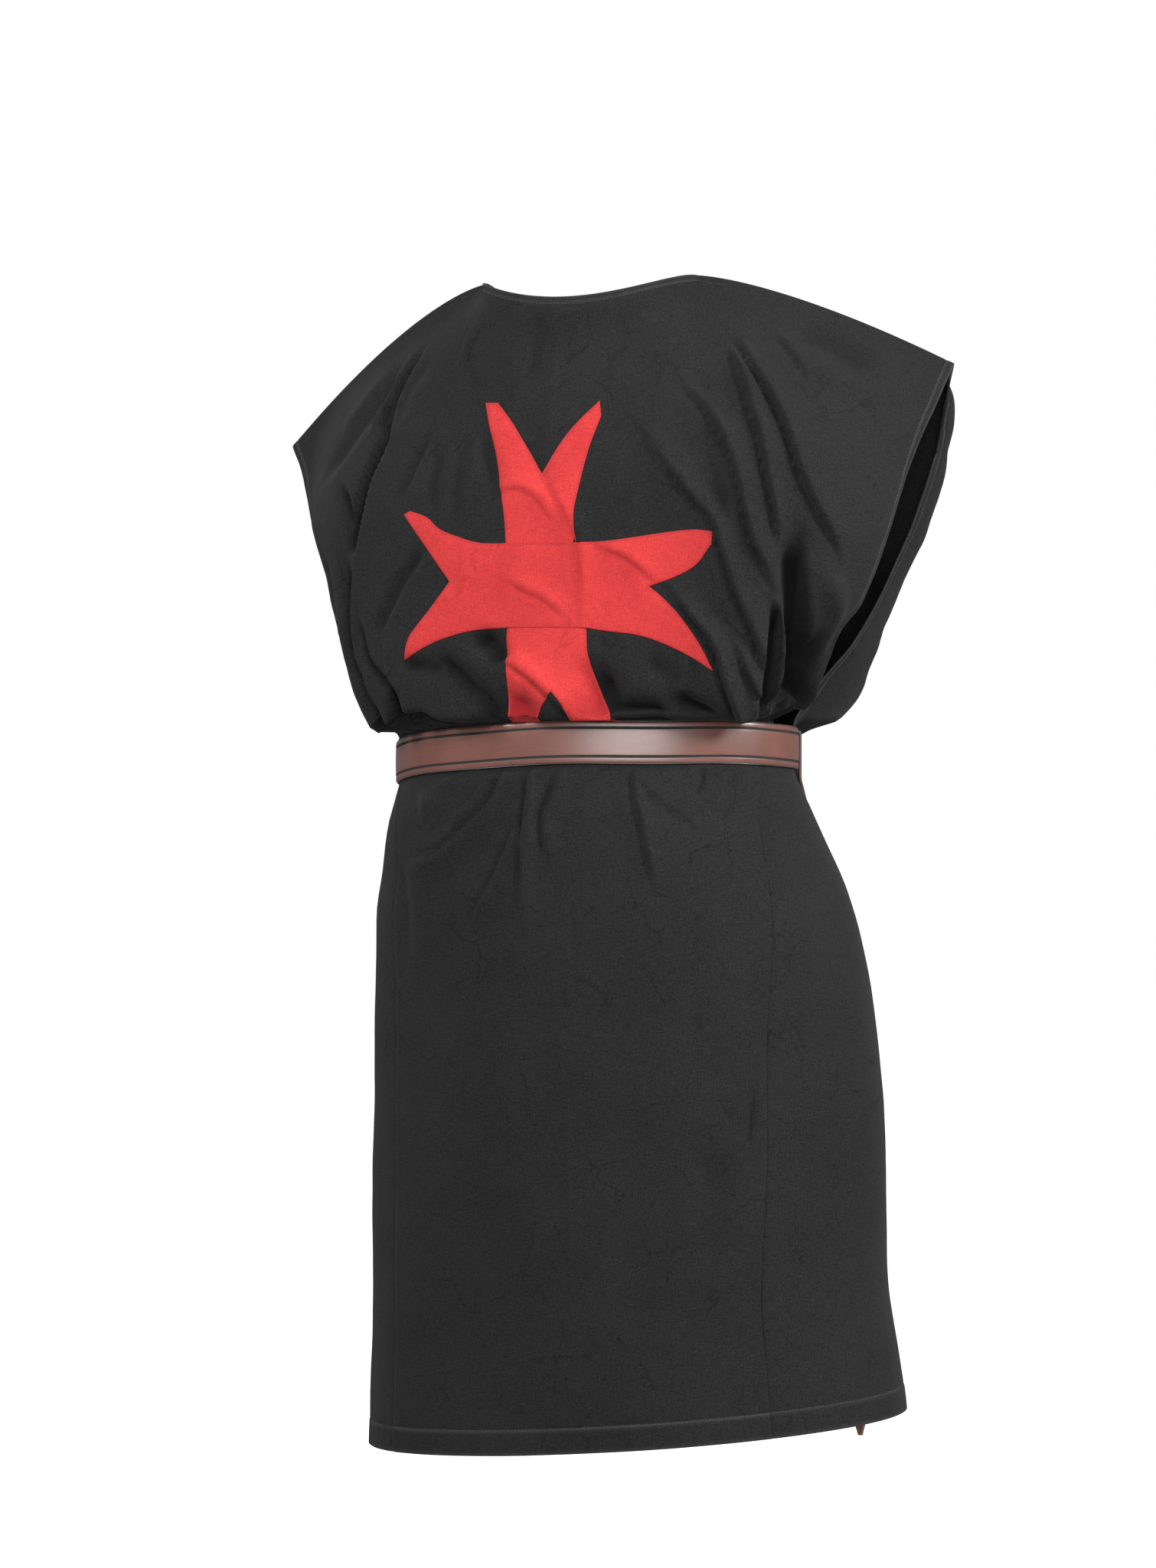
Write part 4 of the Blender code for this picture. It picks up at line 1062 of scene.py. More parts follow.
def spread(points: Array, shares: Array) -> Array:
    """The same path with its points at shares of its length."""
    lengths = path_lengths(points)
    return read_along(points, lengths, shares * lengths[-1])


def upper_half(row: Upper, facing: int, side: int, shares: Array) -> Array:
    """Half of a level above the belt, from the centre line out to the free edge.

    Args:
        row: The level.
        facing: +1 for the back and -1 for the front.
        side: +1 for the wearer's left and -1 for the right.
        shares: Shares of the half at which its points lie.

    Returns:
        The points.
    """
    name = "left" if side > 0 else "right"
    wide, wide_y, edge, edge_y, edge_drop = (
        getattr(row, name + end) for end in ("_wide", "_wide_y", "_edge", "_edge_y", "_drop")
    )
    turn = np.linspace(0, math.pi / 2, ARC_STEPS)
    power = 2 / row.squareness
    x = wide * np.sin(turn) ** power
    y = wide_y + (facing * row.depth - wide_y) * np.abs(np.cos(turn)) ** power
    wrap = np.linspace(0, 1, ARC_STEPS)[1:]
    x = np.concatenate([x, wide - (wide - edge) * wrap**2])
    y = np.concatenate([y, wide_y + (edge_y - wide_y) * wrap])
    points = spread(np.stack([side * x, y, 0 * x], axis=1), shares)
    points[:, 2] = -row.drop - (edge_drop - row.drop) * shares**EDGE_EASE
    return points


def ring_point(row: Ring, bearing: Array) -> Array:
    """Points of a skirt level. Bearings are in radians from the centre back, + to the wearer's left."""
    x = row.centre + row.half * np.sin(bearing)
    deep = np.where(np.cos(bearing) > 0, row.back, row.front)
    y = deep * np.cos(bearing)
    return np.stack([x, y, -row.drop + row.tilt_x * x + row.tilt_y * y], axis=1)


def ring_half(row: Ring, facing: int, side: int, shares: Array) -> Array:
    """Half of a panel's level in the skirt, from the centre line out to the seam."""
    name = ("back" if facing > 0 else "front") + ("_left" if side > 0 else "_right")
    reach = math.radians(getattr(row, name))
    start = 0 if facing > 0 else math.pi
    turn = side * (start + facing * np.linspace(0, reach, ARC_STEPS))
    return spread(ring_point(row, turn), shares)


def loft(sections: Array, at: Array, levels: Array) -> Array:
    """A smooth surface through sections, with no overshoot between them.

    Args:
        sections: One row of points for each section.
        at: The level of each section.
        levels: The wanted levels.

    Returns:
        One row of points for each wanted level.
    """
    step = np.diff(at)[:, None, None]
    slope = np.diff(sections, axis=0) / step
    same = slope[:-1] * slope[1:] > 0
    inner = np.where(same, 2 * slope[:-1] * slope[1:], 0) / np.where(same, slope[:-1] + slope[1:], 1)
    lean = np.concatenate([slope[:1], inner, slope[-1:]])
    cell = np.clip(np.searchsorted(at, levels, side="right") - 1, 0, len(at) - 2)
    t = ((levels - at[cell]) / np.diff(at)[cell])[:, None, None]
    return (
        sections[cell] * (1 + 2 * t) * (1 - t) ** 2
        + lean[cell] * step[cell] * t * (1 - t) ** 2
        + sections[cell + 1] * t * t * (3 - 2 * t)
        + lean[cell + 1] * step[cell] * t * t * (t - 1)
    )


def top_edge(facing: int, shares: Array) -> Array:
    """The neckline and both shoulder seams, at signed shares from the wearer's right tip to the left."""
    depth, dip = NECKLINE[facing]
    points = []
    for share in shares:
        side = 1 if share > 0 else -1
        if abs(share) < NECK_SHARE:
            turn = share / NECK_SHARE * math.pi / 2
            y = facing * depth * math.cos(turn)
            points.append((NECK_HALF * math.sin(turn), y, -dip * math.cos(turn) ** 2))
            continue
        out = (abs(share) - NECK_SHARE) / (1 - NECK_SHARE)
        x = NECK_HALF + (SHOULDER_HALF - NECK_HALF) * out
        y = -SHOULDER_FORWARD * out**SHOULDER_SWEEP + facing * SEAM_GAP / 2
        points.append((side * x, y, -SHOULDER_DROP[side] * out**SHOULDER_BEND))
    return np.array(points)


def softened(offset: Array, shares: Array, below: Array) -> Array:
    """The top edge's offset at each level, smoother along the level the further it lies below."""
    rows = []
    share = (shares + 1) / 2
    width = np.gradient(share)
    for distance in below:
        near_tip = np.clip(np.minimum(share, 1 - share) / TIP_FIRM, 0, 1)
        reach = SOFTEN_RATE * distance / (2 * SHOULDER_HALF) * near_tip[:, None] + 1e-4
        weight = bell(share[:, None] - share, reach) * width
        rows.append(weight @ offset / weight.sum(axis=1, keepdims=True))
    return np.array(rows)


def belt_level(points: Array) -> Array:
    """How far each point lies below the origin, on planes parallel to the belt's."""
    return -points[..., 2] + BELT_TILT_X * points[..., 0] + BELT_TILT_Y * points[..., 1]


def blurred(values: Array, reach: int) -> Array:
    """The values of a grid, averaged over some rows and columns each way."""
    window = np.hanning(2 * reach + 3)[1:-1]
    values = np.pad(values, reach, mode="edge")
    for axis in (0, 1):
        values = np.apply_along_axis(np.convolve, axis, values, window / window.sum(), "valid")
    return values


def fold_shade_share(height: Array) -> Array:
    """How deep in a fold each point lies, from 0 to 1: how much painted shade the cloth takes there."""
    around = blurred(height, FOLD_SHADE_REACH)
    return blurred(smooth_step(np.maximum(around - height, -height / 5) / FOLD_SHADE_DEPTH), 1)


def in_belt(drop: float) -> bool:
    """Whether a fold's end lies under the belt, which hides it."""
    return 400 < drop < 490


@dataclass
class Relief:
    """The folds of one panel, as heights over its grid.

    Attributes:
        folds: What each fold is made from.
        side: How far round from the centre line each point lies.
        drop: How far below the origin it lies.
    """

    folds: Sequence[tuple]
    side: Array
    drop: Array

    def height(self) -> Array:
        """How far all the folds move each point out."""
        total = np.zeros_like(self.side)
        for row in self.folds:
            fold = Fold(*row)
            line = smooth_curve(np.array(fold.line) * MM, FOLD_STEPS)
            reach = fold.half_width * 4 * MM
            low = line.min(axis=0) - reach
            high = line.max(axis=0) + reach
            near = (self.side > low[0]) & (self.side < high[0])
            near &= (self.drop > low[1]) & (self.drop < high[1])
            if near.any():
                total[near] += self.one(fold, line, self.side[near], self.drop[near])
        return total

    def one(self, fold: Fold, line: Array, side: Array, drop: Array) -> Array:
        """One fold's height at some points."""
        start = line[:-1]
        step = np.diff(line, axis=0)
        size = (step**2).sum(axis=1)
        rel_x = side[:, None] - start[:, 0]
        rel_y = drop[:, None] - start[:, 1]
        t = np.clip((rel_x * step[:, 0] + rel_y * step[:, 1]) / size, 0, 1)
        off_x = rel_x - t * step[:, 0]
        off_y = rel_y - t * step[:, 1]
        away = off_x**2 + off_y**2
        best = away.argmin(axis=1)
        pick = np.arange(len(side))
        cross = step[best, 0] * off_y[pick, best] - step[best, 1] * off_x[pick, best]
        signed = np.sqrt(away[pick, best]) * np.where(cross > 0, 1, -1) / (fold.half_width * MM)
        along = (best + t[pick, best]) / len(step)
        taper = np.ones_like(along)
        if not in_belt(fold.line[0][1]):
            taper *= smooth_step(along / fold.grow)
        if not in_belt(fold.line[-1][1]):
            taper *= smooth_step((1 - along) / 0.25)
        return fold.height * MM * taper * self.section(fold, signed) * DEPTH

    def section(self, fold: Fold, signed: Array) -> Array:
        """A fold's section by its kind, for a signed distance in half widths."""
        if fold.kind is Crease.SHARP:
            return np.exp(-np.abs(signed) * 1.4)
        if fold.kind is Crease.LAPPED:
            wall = smooth_step((signed * fold.half_width + 1) / WALL)
            slope = bell(signed, 1.4)
            groove = np.exp(-((signed * fold.half_width / GROOVE) ** 2))
            return LAP_GROOVE * groove - slope * (LAP_FOOT * (1 - wall) + LAP_RISE * wall)
        if fold.kind is Crease.POCKET:
            return np.exp(-(signed**4))
        return np.exp(-(signed**2))


@dataclass
class Sewn:
    """A piece of black cotton that keeps its outer face.

    Attributes:
        name: The node that it stands for.
        flat: The width and length of its cut. It is not used.
        area: The flat area of its cut. It is not used.
        columns: How many columns of faces its plain middle has, on each side of a panel's centre line.
        seed: Where its small waves start from.
        outer: The outer face, as rows of points.
        normals: Unit normals of that face.
    """

    name: str
    flat: Tuple[float, float]
    area: float
    columns: int
    seed: float
    outer: Array = field(init=False)
    normals: Array = field(init=False)

    def waves(self, points: Array, kinds: Sequence[Tuple[float, float]]) -> Array:
        """Soft unevenness: the sum of waves, each of a height and a width."""
        return sum(
            height * waviness(points, width, self.seed + step) for step, (height, width) in enumerate(kinds)
        )

    def finish(
        self, points: Array, relief: Array, facing: int, cotton: Material, **wall: object
    ) -> Piece:
        """Raise the face, make its wall and dress it.

        Args:
            points: The folded face.
            relief: How far seams and hems raise each point.
            facing: +1 or -1, for the way the grid's normals turn.
            cotton: The finish.
            wall: The other settings of the wall.

        Returns:
            The piece.
        """
        self.outer = points + outward(points, facing) * relief[..., None]
        self.normals = outward(self.outer, facing)
        mesh = Shell(self.outer, self.normals, **wall).mesh(self.name)
        return dress(self.name, mesh, cotton, "black_cotton")

    def inset(self, edge: Edge, distance: float, first: float = 0.0, last: float = 1.0) -> Array:
        """A line on the outer face at a distance inside an edge.

        Args:
            edge: The edge that it follows.
            distance: How far inside it lies, along the cloth.
            first: Where it starts, as a share of the edge.
            last: Where it ends, as a share of the edge.

        Returns:
            Points just above the cloth.
        """
        grid = self.outer + self.normals * STITCH_LIFT
        if edge in (Edge.TOP, Edge.HEM):
            grid = grid.transpose(1, 0, 2)
        if edge in (Edge.LEFT, Edge.HEM):
            grid = grid[:, ::-1]
        grid = grid[int(first * len(grid)) : int(last * len(grid)), :EDGE_COLUMNS]
        return np.array([read_along(row, along, distance) for along, row in zip(run_across(grid), grid)])


@dataclass
class Panel(Sewn):
    """The back or the front: a wide yoke with free sides, drawn in by the belt, and its part of the skirt.

    Attributes:
        facing: +1 for the back and -1 for the front.
        folds: Its folds.
        droop: How far the cloth sags over the belt.
        thinning: How much further apart its rows lie than the back's.
        kept: How deep in a fold each point lies, which sets how much painted shade it takes.
    """

    facing: int
    folds: Sequence[tuple]
    droop: float
    thinning: float = 1.0
    kept: Array = field(init=False)

    def levels(self, top: float) -> Array:
        """The panel's levels, crowded at its top edge and its hem."""
        head = top + np.array(TOP_STEPS)
        hem = SKIRT[-1].drop - np.array(HEM_STEPS[::-1])
        chest = np.arange(head[-1] + CHEST_STEP * self.thinning, HIP_START, CHEST_STEP * self.thinning)
        hip = np.arange(HIP_START, HIP_END, HIP_STEP * self.thinning)
        skirt = np.arange(HIP_END, hem[0] - SKIRT_STEP / 2, SKIRT_STEP * self.thinning)
        levels = np.concatenate([head, chest, hip, skirt, hem])
        return levels if len(levels) % 2 else np.delete(levels, len(levels) // 2)

    def signed_shares(self) -> Array:
        """Shares of half a level for every column, below zero on the wearer's right."""
        shares = half_shares(self.columns)
        return np.concatenate([-shares[::-1], shares[1:]])

    def base(self) -> Tuple[Array, Array]:
        """The smooth outer face, and how far each level lies below the top one."""
        shares = half_shares(self.columns)
        signed = self.signed_shares()
        table = UPPER[self.facing]
        at = [row.drop + BELT_TILT_Y * self.facing * row.depth for row in table]
        at = np.array(at + [row.drop for row in SKIRT])
        sections = []
        for half, rows in ((upper_half, table), (ring_half, SKIRT)):
            for row in rows:
                right = half(row, self.facing, -1, shares)
                left = half(row, self.facing, +1, shares)
                sections.append(np.concatenate([right[::-1], left[1:]]))
        levels = self.levels(at[0])
        points = loft(np.array(sections), at, levels)
        below = levels - at[0]
        blend = smooth_step(1 - below / SHOULDER_BLEND)[:, None, None]
        shift = softened(top_edge(self.facing, signed) - points[0], signed, below)
        points = points + blend * shift
        return points + outward(points, self.facing) * CLOTH, below

    def sag(self, points: Array) -> Array:
        """The cloth above the belt sinks over its top edge where it stands out past it."""
        x = points[..., 0] - BELT_CENTRE
        y = points[..., 1]
        out = np.sqrt((x / (BELT_HALF + LEATHER)) ** 2 + (y / (BELT_DEPTH + LEATHER)) ** 2)
        past = smooth_step((out - SAG_START) / SAG_SPAN)
        level = belt_level(points)
        near = smooth_step((level - (BELT_DROP - SAG_REACH)) / SAG_EASE) * (level < BELT_DROP)
        uneven = 1 + SAG_UNEVEN * waviness(points * np.array([1, 1, 0.2]), SAG_EASE, self.seed)
        moved = points.copy()
        moved[..., 2] -= self.droop * past * near * uneven
        return moved

    def fold_way(self, points: Array, side: Array, level: Array) -> Array:
        """The way that folds move each point. Near the centre line they keep one way round the lip.

        Args:
            points: The smooth outer face.
            side: How far round from the centre line each point lies.
            level: How far each lies below the origin, on planes parallel to the belt's.

        Returns:
            One unit vector for each point.
        """
        way = outward(points, self.facing)
        first = np.searchsorted(level[:, side.shape[1] // 2], LIP_LEVEL)
        last = np.searchsorted(level[:, side.shape[1] // 2], BELT_DROP)
        share = smooth_step((LIP_SPAN - np.abs(side[first:last])) / LIP_BLEND)[..., None]
        way[first:last] = unit(way[first:last] * (1 - share) + way[first] * share)
        return way

    def hems(self, points: Array) -> Tuple[Array, Array, Array]:
        """Heights, wall thickness and wear from the turned edges.

        Args:
            points: The folded outer face.

        Returns:
            Heights, thickness and wear at each point.
        """
        across = run_across(points)
        down = run_down(points)
        from_side = np.minimum(across, across[:, -1:] - across)
        from_hem = down[-1:] - down
        level = belt_level(points)
        above = smooth_step((BELT_DROP - OPEN_FADE - level) / OPEN_FADE)
        neck = smooth_step((NECK_SHARE - np.abs(self.signed_shares())) / OPEN_FADE)[None]
        height = np.zeros_like(level)
        wear = np.zeros_like(level)
        doubled = np.zeros_like(level)
        ripple = waviness(points, PUCKER_REACH, self.seed + 3)
        for distance, width, amount in (
            (from_side, TURNED_EDGE, above),
            (down, TURNED_EDGE, neck * np.ones_like(down)),
            (from_hem, TURNED_HEM, np.ones_like(down)),
        ):
            plateau = smooth_step((width - distance) / TURN_SOFT)
            groove = bell(distance - width, STITCH_HALF)
            pucker = ripple * bell(distance - width, PUCKER_REACH)
            height += amount * (TURN_RISE * plateau - STITCH_SINK * groove + PUCKER_RISE * pucker)
            beside = bell(distance - width + TURN_SOFT, STITCH_HALF)
            wear += amount * (EDGE_WEAR * bell(distance, TURN_SOFT) + STITCH_WEAR * beside)
            doubled = np.maximum(doubled, amount * plateau)
        seam = (1 - above) * bell(from_side, SEAM_HALF)
        allowance = (1 - above) * smooth_step((ALLOWANCE - from_side) / ALLOWANCE_SOFT)
        shoulder = (1 - neck) * bell(down, SEAM_HALF)
        height += ALLOWANCE_RISE * allowance - SEAM_SINK * seam - SHOULDER_SINK * shoulder
        thickness = SHELL + (HEM_SHELL - SHELL) * doubled
        return height, thickness, wear

    def build(self, cotton: Material) -> Piece:
        """Make the panel's wall and dress it."""
        points, below = self.base()
        side = run_across(points)
        side = side - side[:, [side.shape[1] // 2]]
        level = belt_level(points)
        fall = run_down(points)
        waist = np.abs(level - BELT_DROP).argmin(axis=0)
        place = np.stack([side, fall - fall[waist, np.arange(fall.shape[1])]], axis=-1)
        free = np.clip((np.abs(level - BELT_DROP) - BELT_WIDTH / 2 - BELT_CLEAR) / FOLD_FADE, 0, 1)
        free = free * np.clip(below / TOP_FADE, 0, 1)[:, None]
        height = Relief(self.folds, side, -points[..., 2]).height()
        # How deep in a fold each point lies, for the painted shade.
        self.kept = fold_shade_share(height * free)
        moved = (height + self.waves(points, PANEL_WAVES)) * smooth_step(free)
        points = self.sag(points + self.fold_way(points, side, level) * moved[..., None])
        relief, thickness, wear = self.hems(points)
        # Painted shade: the fold depth is taken off the wear, so the cloth is painted darker deep in folds.
        wall = {"thickness": thickness, "place": place, "wear": wear - self.kept, "halved": True}
        return self.finish(points, relief, self.facing, cotton, **wall)


@dataclass
class Gore(Sewn):
    """A side piece of the skirt, sewn to the back from the belt down and to the front below a slit.

    Attributes:
        side: +1 for the wearer's left and -1 for the right.
    """

    side: int

    def base(self) -> Tuple[Array, Array]:
        """The smooth outer face, and each point's distance round from the centre back."""
        name = "_left" if self.side > 0 else "_right"
        middle = np.linspace(0.05, 0.95, self.columns)
        shares = np.concatenate([GORE_SHARES, middle, 1 - GORE_SHARES[::-1]])
        sections = []
        starts = []
        for row in SKIRT:
            gap = SEAM_GAP / row.half
            first = math.radians(getattr(row, "back" + name)) + gap
            last = math.pi - math.radians(getattr(row, "front" + name)) - gap
            through = min(max((row.drop - GORE_TOP) / (SLIT_END - GORE_TOP), 0), 1)
            last -= SLIT_WIDTH / row.half * math.sin(through * math.pi)
            turn = self.side * np.linspace(first, last, ARC_STEPS)
            sections.append(spread(ring_point(row, turn), shares))
            lead = ring_point(row, self.side * np.linspace(0, first, ARC_STEPS))
            starts.append(path_lengths(lead)[-1])
        at = np.array([row.drop for row in SKIRT])
        hem = SKIRT[-1].drop - np.array(HEM_STEPS[::-1])
        levels = np.concatenate([np.arange(GORE_TOP, hem[0] - SKIRT_STEP / 2, SKIRT_STEP), hem])
        points = loft(np.array(sections), at, levels)
        around = run_across(points) + np.interp(levels, at, starts)[:, None]
        return points + outward(points, self.side) * CLOTH, around

    def build(self, cotton: Material) -> Piece:
        """Make the gore's wall and dress it."""
        points, around = self.base()
        level = belt_level(points)
        free = np.clip((level - BELT_DROP - BELT_WIDTH / 2 - BELT_CLEAR) / FOLD_FADE, 0, 1)
        across = run_across(points)
        from_side = np.minimum(across, across[:, -1:] - across)
        down = run_down(points)
        from_hem = down[-1:] - down
        height = Relief(BACK_FOLDS, self.side * around, -points[..., 2]).height()
        waves = self.waves(points, GORE_WAVES) * smooth_step(from_side / GORE_CALM)
        height = height * smooth_step(1 - (across / GORE_FADE))
        plateau = smooth_step((TURNED_HEM - from_hem) / TURN_SOFT)
        groove = bell(from_hem - TURNED_HEM, STITCH_HALF)
        seam = bell(from_side, SEAM_HALF)
        relief = (height + waves) * smooth_step(free)
        relief = relief + TURN_RISE * plateau - STITCH_SINK * groove - SEAM_SINK * seam
        beside = bell(from_hem - TURNED_HEM + TURN_SOFT, STITCH_HALF)
        wear = EDGE_WEAR * bell(from_hem, TURN_SOFT) + GORE_STITCH_WEAR * beside
        thickness = SHELL + (HEM_SHELL - SHELL) * plateau
        wall = {"thickness": thickness, "place": np.stack([around, down], axis=-1), "wear": wear}
        return self.finish(points, relief, self.side, cotton, **wall)


# ---- The cross ----

# Smooth edges of each piece as (x, z) from the cross's middle, in tenths of a millimetre. They meet at
# corners, and each starts where the one before it ends.
UPRIGHT_EDGES = [
    [(434, 753), (541, 1166), (666, 1492), (757, 1732)],
    [(625, 1727)],
    [(396, 1474), (81, 1042)],
    [(-142, 1439), (-378, 1717)],
    [(-418, 1575)],
    [(-349, 1251), (-295, 912), (-267, 668), (-296, 410)],
    [(-418, -380)],
    [(-442, -645), (-506, -901), (-640, -1215)],
    [(-255, -1215)],
    [(-208, -1067), (-123, -953)],
    [(0, -1080), (90, -1225)],
    [(372, -1225)],
    [(340, -900), (345, -720), (358, -544), (353, -369)],
    [(390, 400)],
]
BAR_EDGES = [
    [(646, 416), (866, 475), (1070, 554), (1215, 668), (1396, 731)],
    [(1466, 701)],
    [(1320, 518), (1223, 398), (958, 68)],
    [(1154, -181), (1294, -343), (1373, -456), (1420, -648)],
    [(1135, -511), (931, -441), (661, -383), (353, -369)],
    [(-418, -380)],
    [(-604, -409), (-878, -445), (-1117, -519), (-1401, -655), (-1595, -778)],
    [(-1481, -545), (-1302, -300), (-1137, -128), (-989, -6)],
    [(-1215, 72), (-1416, 183), (-1559, 364)],
    [(-1559, 483)],
    [(-1374, 503), (-1101, 478), (-794, 435), (-582, 409), (-296, 400)],
    [(350, 405)],
]
CROSS_MIDDLE = (-0.008, -0.295)
TENTHS = 10000
EDGE_STEPS = 24
OUTLINE_STEP = 0.0018
RINGS = (0.0008, 0.0017, 0.0027)
RINGS_END = 0.0036
THREAD_LIFT = 0.0001
RIM_SHARE = 0.55
PUFF = 0.00035
RIPPLE = 0.0002


class Outline:
    """A closed outline of smooth edges that meet at corners."""

    def __init__(self, edges: Sequence[Sequence[Point]]) -> None:
        """Sample the edges. Each starts where the one before it ends, and the first where the last ends."""
        start = edges[-1][-1]
        parts = []
        for edge in edges:
            parts.append(self.sampled(np.array([start, *edge]) / TENTHS)[:-1])
            start = edge[-1]
        self.points = np.concatenate(parts) + np.array(CROSS_MIDDLE)

    def sampled(self, held: Array) -> Array:
        """One edge as even steps along a smooth curve through its points."""
        curve = smooth_curve(held, EDGE_STEPS)
        lengths = path_lengths(curve)
        count = max(2, int(round(lengths[-1] / OUTLINE_STEP)) + 1)
        return read_along(curve, lengths, np.linspace(0, lengths[-1], count))

    def depth(self, places: Array) -> Array:
        """How far inside the outline each place lies, below zero outside it."""
        first = self.points
        second = np.roll(first, -1, axis=0)
        step = second - first
        best = np.full(len(places), 1e9)
        inside = np.zeros(len(places), bool)
        for a, b, d in zip(first, second, step):
            rel = places - a
            t = np.clip(rel @ d / (d @ d), 0, 1)
            best = np.minimum(best, ((rel - t[:, None] * d) ** 2).sum(axis=1))
            spans = (a[1] > places[:, 1]) != (b[1] > places[:, 1])
            if spans.any() and abs(d[1]) > 1e-12:
                inside ^= spans & (places[:, 0] < a[0] + (places[:, 1] - a[1]) / d[1] * d[0])
        return np.sqrt(best) * np.where(inside, 1, -1)

    def inset(self, distance: float) -> Array:
        """Points at a distance inside the outline, left out where corners crowd them."""
        ahead = np.roll(self.points, -1, axis=0) - np.roll(self.points, 1, axis=0)
        inward = unit(np.stack([-ahead[:, 1], ahead[:, 0]], axis=1))
        moved = self.points + inward * distance
        if np.median(self.depth(moved[::7])) < 0:
            moved = self.points - inward * distance
        return moved[self.depth(moved) > distance * 0.93]

    def triangles(self, spacing: float) -> Tuple[Array, Array]:
        """Places inside the outline and on it, and the triangles between them."""
        low = self.points.min(axis=0)
        high = self.points.max(axis=0)
        columns = np.arange(low[0], high[0], spacing)
        rows = np.arange(low[1], high[1], spacing)
        grid = np.stack(np.meshgrid(columns, rows), axis=-1)
        grid[1::2, :, 0] += spacing / 2
        grid = grid.reshape(-1, 2)
        grid = grid[self.depth(grid) > RINGS_END]
        rings = [self.inset(distance) for distance in RINGS]
        places = np.concatenate([self.points, *rings, grid])
        count = len(self.points)
        edges = [(i, (i + 1) % count) for i in range(count)]
        made = geometry.delaunay_2d_cdt([Vector(p) for p in places], edges, [], 1, 1e-7)
        found = np.array([tuple(p) for p in made[0]])
        corners = np.array([tuple(face) for face in made[2] if len(face) == 3])
        return found, corners


@dataclass
class Cross:
    """Two pieces of red cotton sewn on the back: the upright, and the bar laid over it.

    Attributes:
        back: The panel that carries it.
        cloth: The wall of each piece.
        lift: The gap between a piece and what it lies on.
        stitch_inset: How far inside its edge it is sewn down.
        groove: How deep its stitches press in.
        groove_half: Half the width of that groove.
        puff_start: How far inside its edge it starts to puff up.
        shaded_edge: How far in from its edge it is painted darker, as painted shade at its turned edge.
        lap_start: How far outside the piece below it starts to climb over that piece.
        lap_reach: How far it takes to climb.
        longest_step: The longest step along a stitch line, past which the line is split.
        spacing: The distance between its points.
    """

    back: Panel
    cloth: float = 0.0008
    lift: float = 0.0001
    stitch_inset: float = 0.0017
    groove: float = 0.0003
    groove_half: float = 0.0005
    puff_start: float = 0.002
    shaded_edge: float = 0.0011
    lap_start: float = 0.009
    lap_reach: float = 0.012
    longest_step: float = 0.012
    spacing: float = 0.0024

    def __post_init__(self) -> None:
        """Ready the back's face for placing things on it."""
        rows, columns = self.back.outer.shape[:2]
        number = np.arange(rows * columns).reshape(rows, columns)
        self.faces = quads_of(number)
        self.places = self.back.outer.reshape(-1, 3)
        self.tilts = self.back.normals.reshape(-1, 3)
        # How deep in a fold each point of the back lies, for the cross's painted shade.
        self.kept = self.back.kept.ravel()
        self.tree = BVHTree.FromPolygons([Vector(p) for p in self.places], self.faces.tolist())

    def on_back(self, places: Array) -> Tuple[Array, Array, Array]:
        """Points and normals of the back's outer face behind places in X and Z, and how deep in a fold,
        which sets the painted shade.
        """
        points = []
        normals = []
        kept = []
        for x, z in places:
            hit, _, face, _ = self.tree.ray_cast(Vector((x, 0.5, z)), Vector((0, -1, 0)))
            corners = self.faces[face]
            share = interpolate.poly_3d_calc([Vector(self.places[c]) for c in corners], hit)
            points.append(tuple(hit))
            normals.append(np.array(share) @ self.tilts[corners])
            kept.append(np.array(share) @ self.kept[corners])
        return np.array(points), unit(np.array(normals)), np.array(kept)

    def piece(
        self, name: str, outline: Outline, under: Optional[Outline], red: Material
    ) -> Piece:
        """One flat piece with a turned, sewn-down edge.

        Args:
            name: The piece's name, which is its node's too.
            outline: Its outline.
            under: The outline of the piece that it also lies on.
            red: Its finish.

        Returns:
            The piece.
        """
        places, triangles = outline.triangles(self.spacing)
        depth = np.maximum(outline.depth(places), 0)
        points, normals, kept = self.on_back(places)
        crown = RIM_SHARE + (1 - RIM_SHARE) * smooth_step(depth / TURN_SOFT)
        groove = bell(depth - self.stitch_inset, self.groove_half)
        puffed = PUFF * smooth_step((depth - self.puff_start) / PUCKER_REACH)
        ripple = RIPPLE * waviness(points, 0.007, 5.0) * bell(depth, PUCKER_REACH)
        raised = np.zeros(len(places))
        if under is not None:
            climb = smooth_step((under.depth(places) + self.lap_start) / self.lap_reach)
            raised = (self.cloth + self.lift) * climb
        low = self.lift + raised
        high = low + self.cloth * crown - self.groove * groove + puffed + ripple
        top = points + normals * high[:, None]
        bottom = points + normals * low[:, None]
        count = len(places)
        faces = [triangles, triangles[:, ::-1] + count, self.walls(triangles, count)]
        spots = np.concatenate([top, bottom])
        # Painted shade: the red is painted darker along its edge and deep in the folds beneath it.
        edge = bell(depth, self.shaded_edge) - kept
        flat = np.concatenate([places, places])
        layers = {WEAR_AND_SHADE: np.concatenate([edge, edge]), LINING: np.repeat([0.0, 1.0], count)}
        return dress(name, new_mesh(name, spots, faces, flat, layers), red, "red_cotton")

    def walls(self, triangles: Array, count: int) -> Array:
        """The thin side between the top and bottom faces, as triangles."""
        sides = np.concatenate([triangles[:, [0, 1]], triangles[:, [1, 2]], triangles[:, [2, 0]]])
        known = {(int(a), int(b)) for a, b in sides}
        rim = np.array([(a, b) for a, b in known if (b, a) not in known])
        first = np.stack([rim[:, 1], rim[:, 0], rim[:, 0] + count], axis=1)
        second = np.stack([rim[:, 1], rim[:, 0] + count, rim[:, 1] + count], axis=1)
        return np.concatenate([first, second])

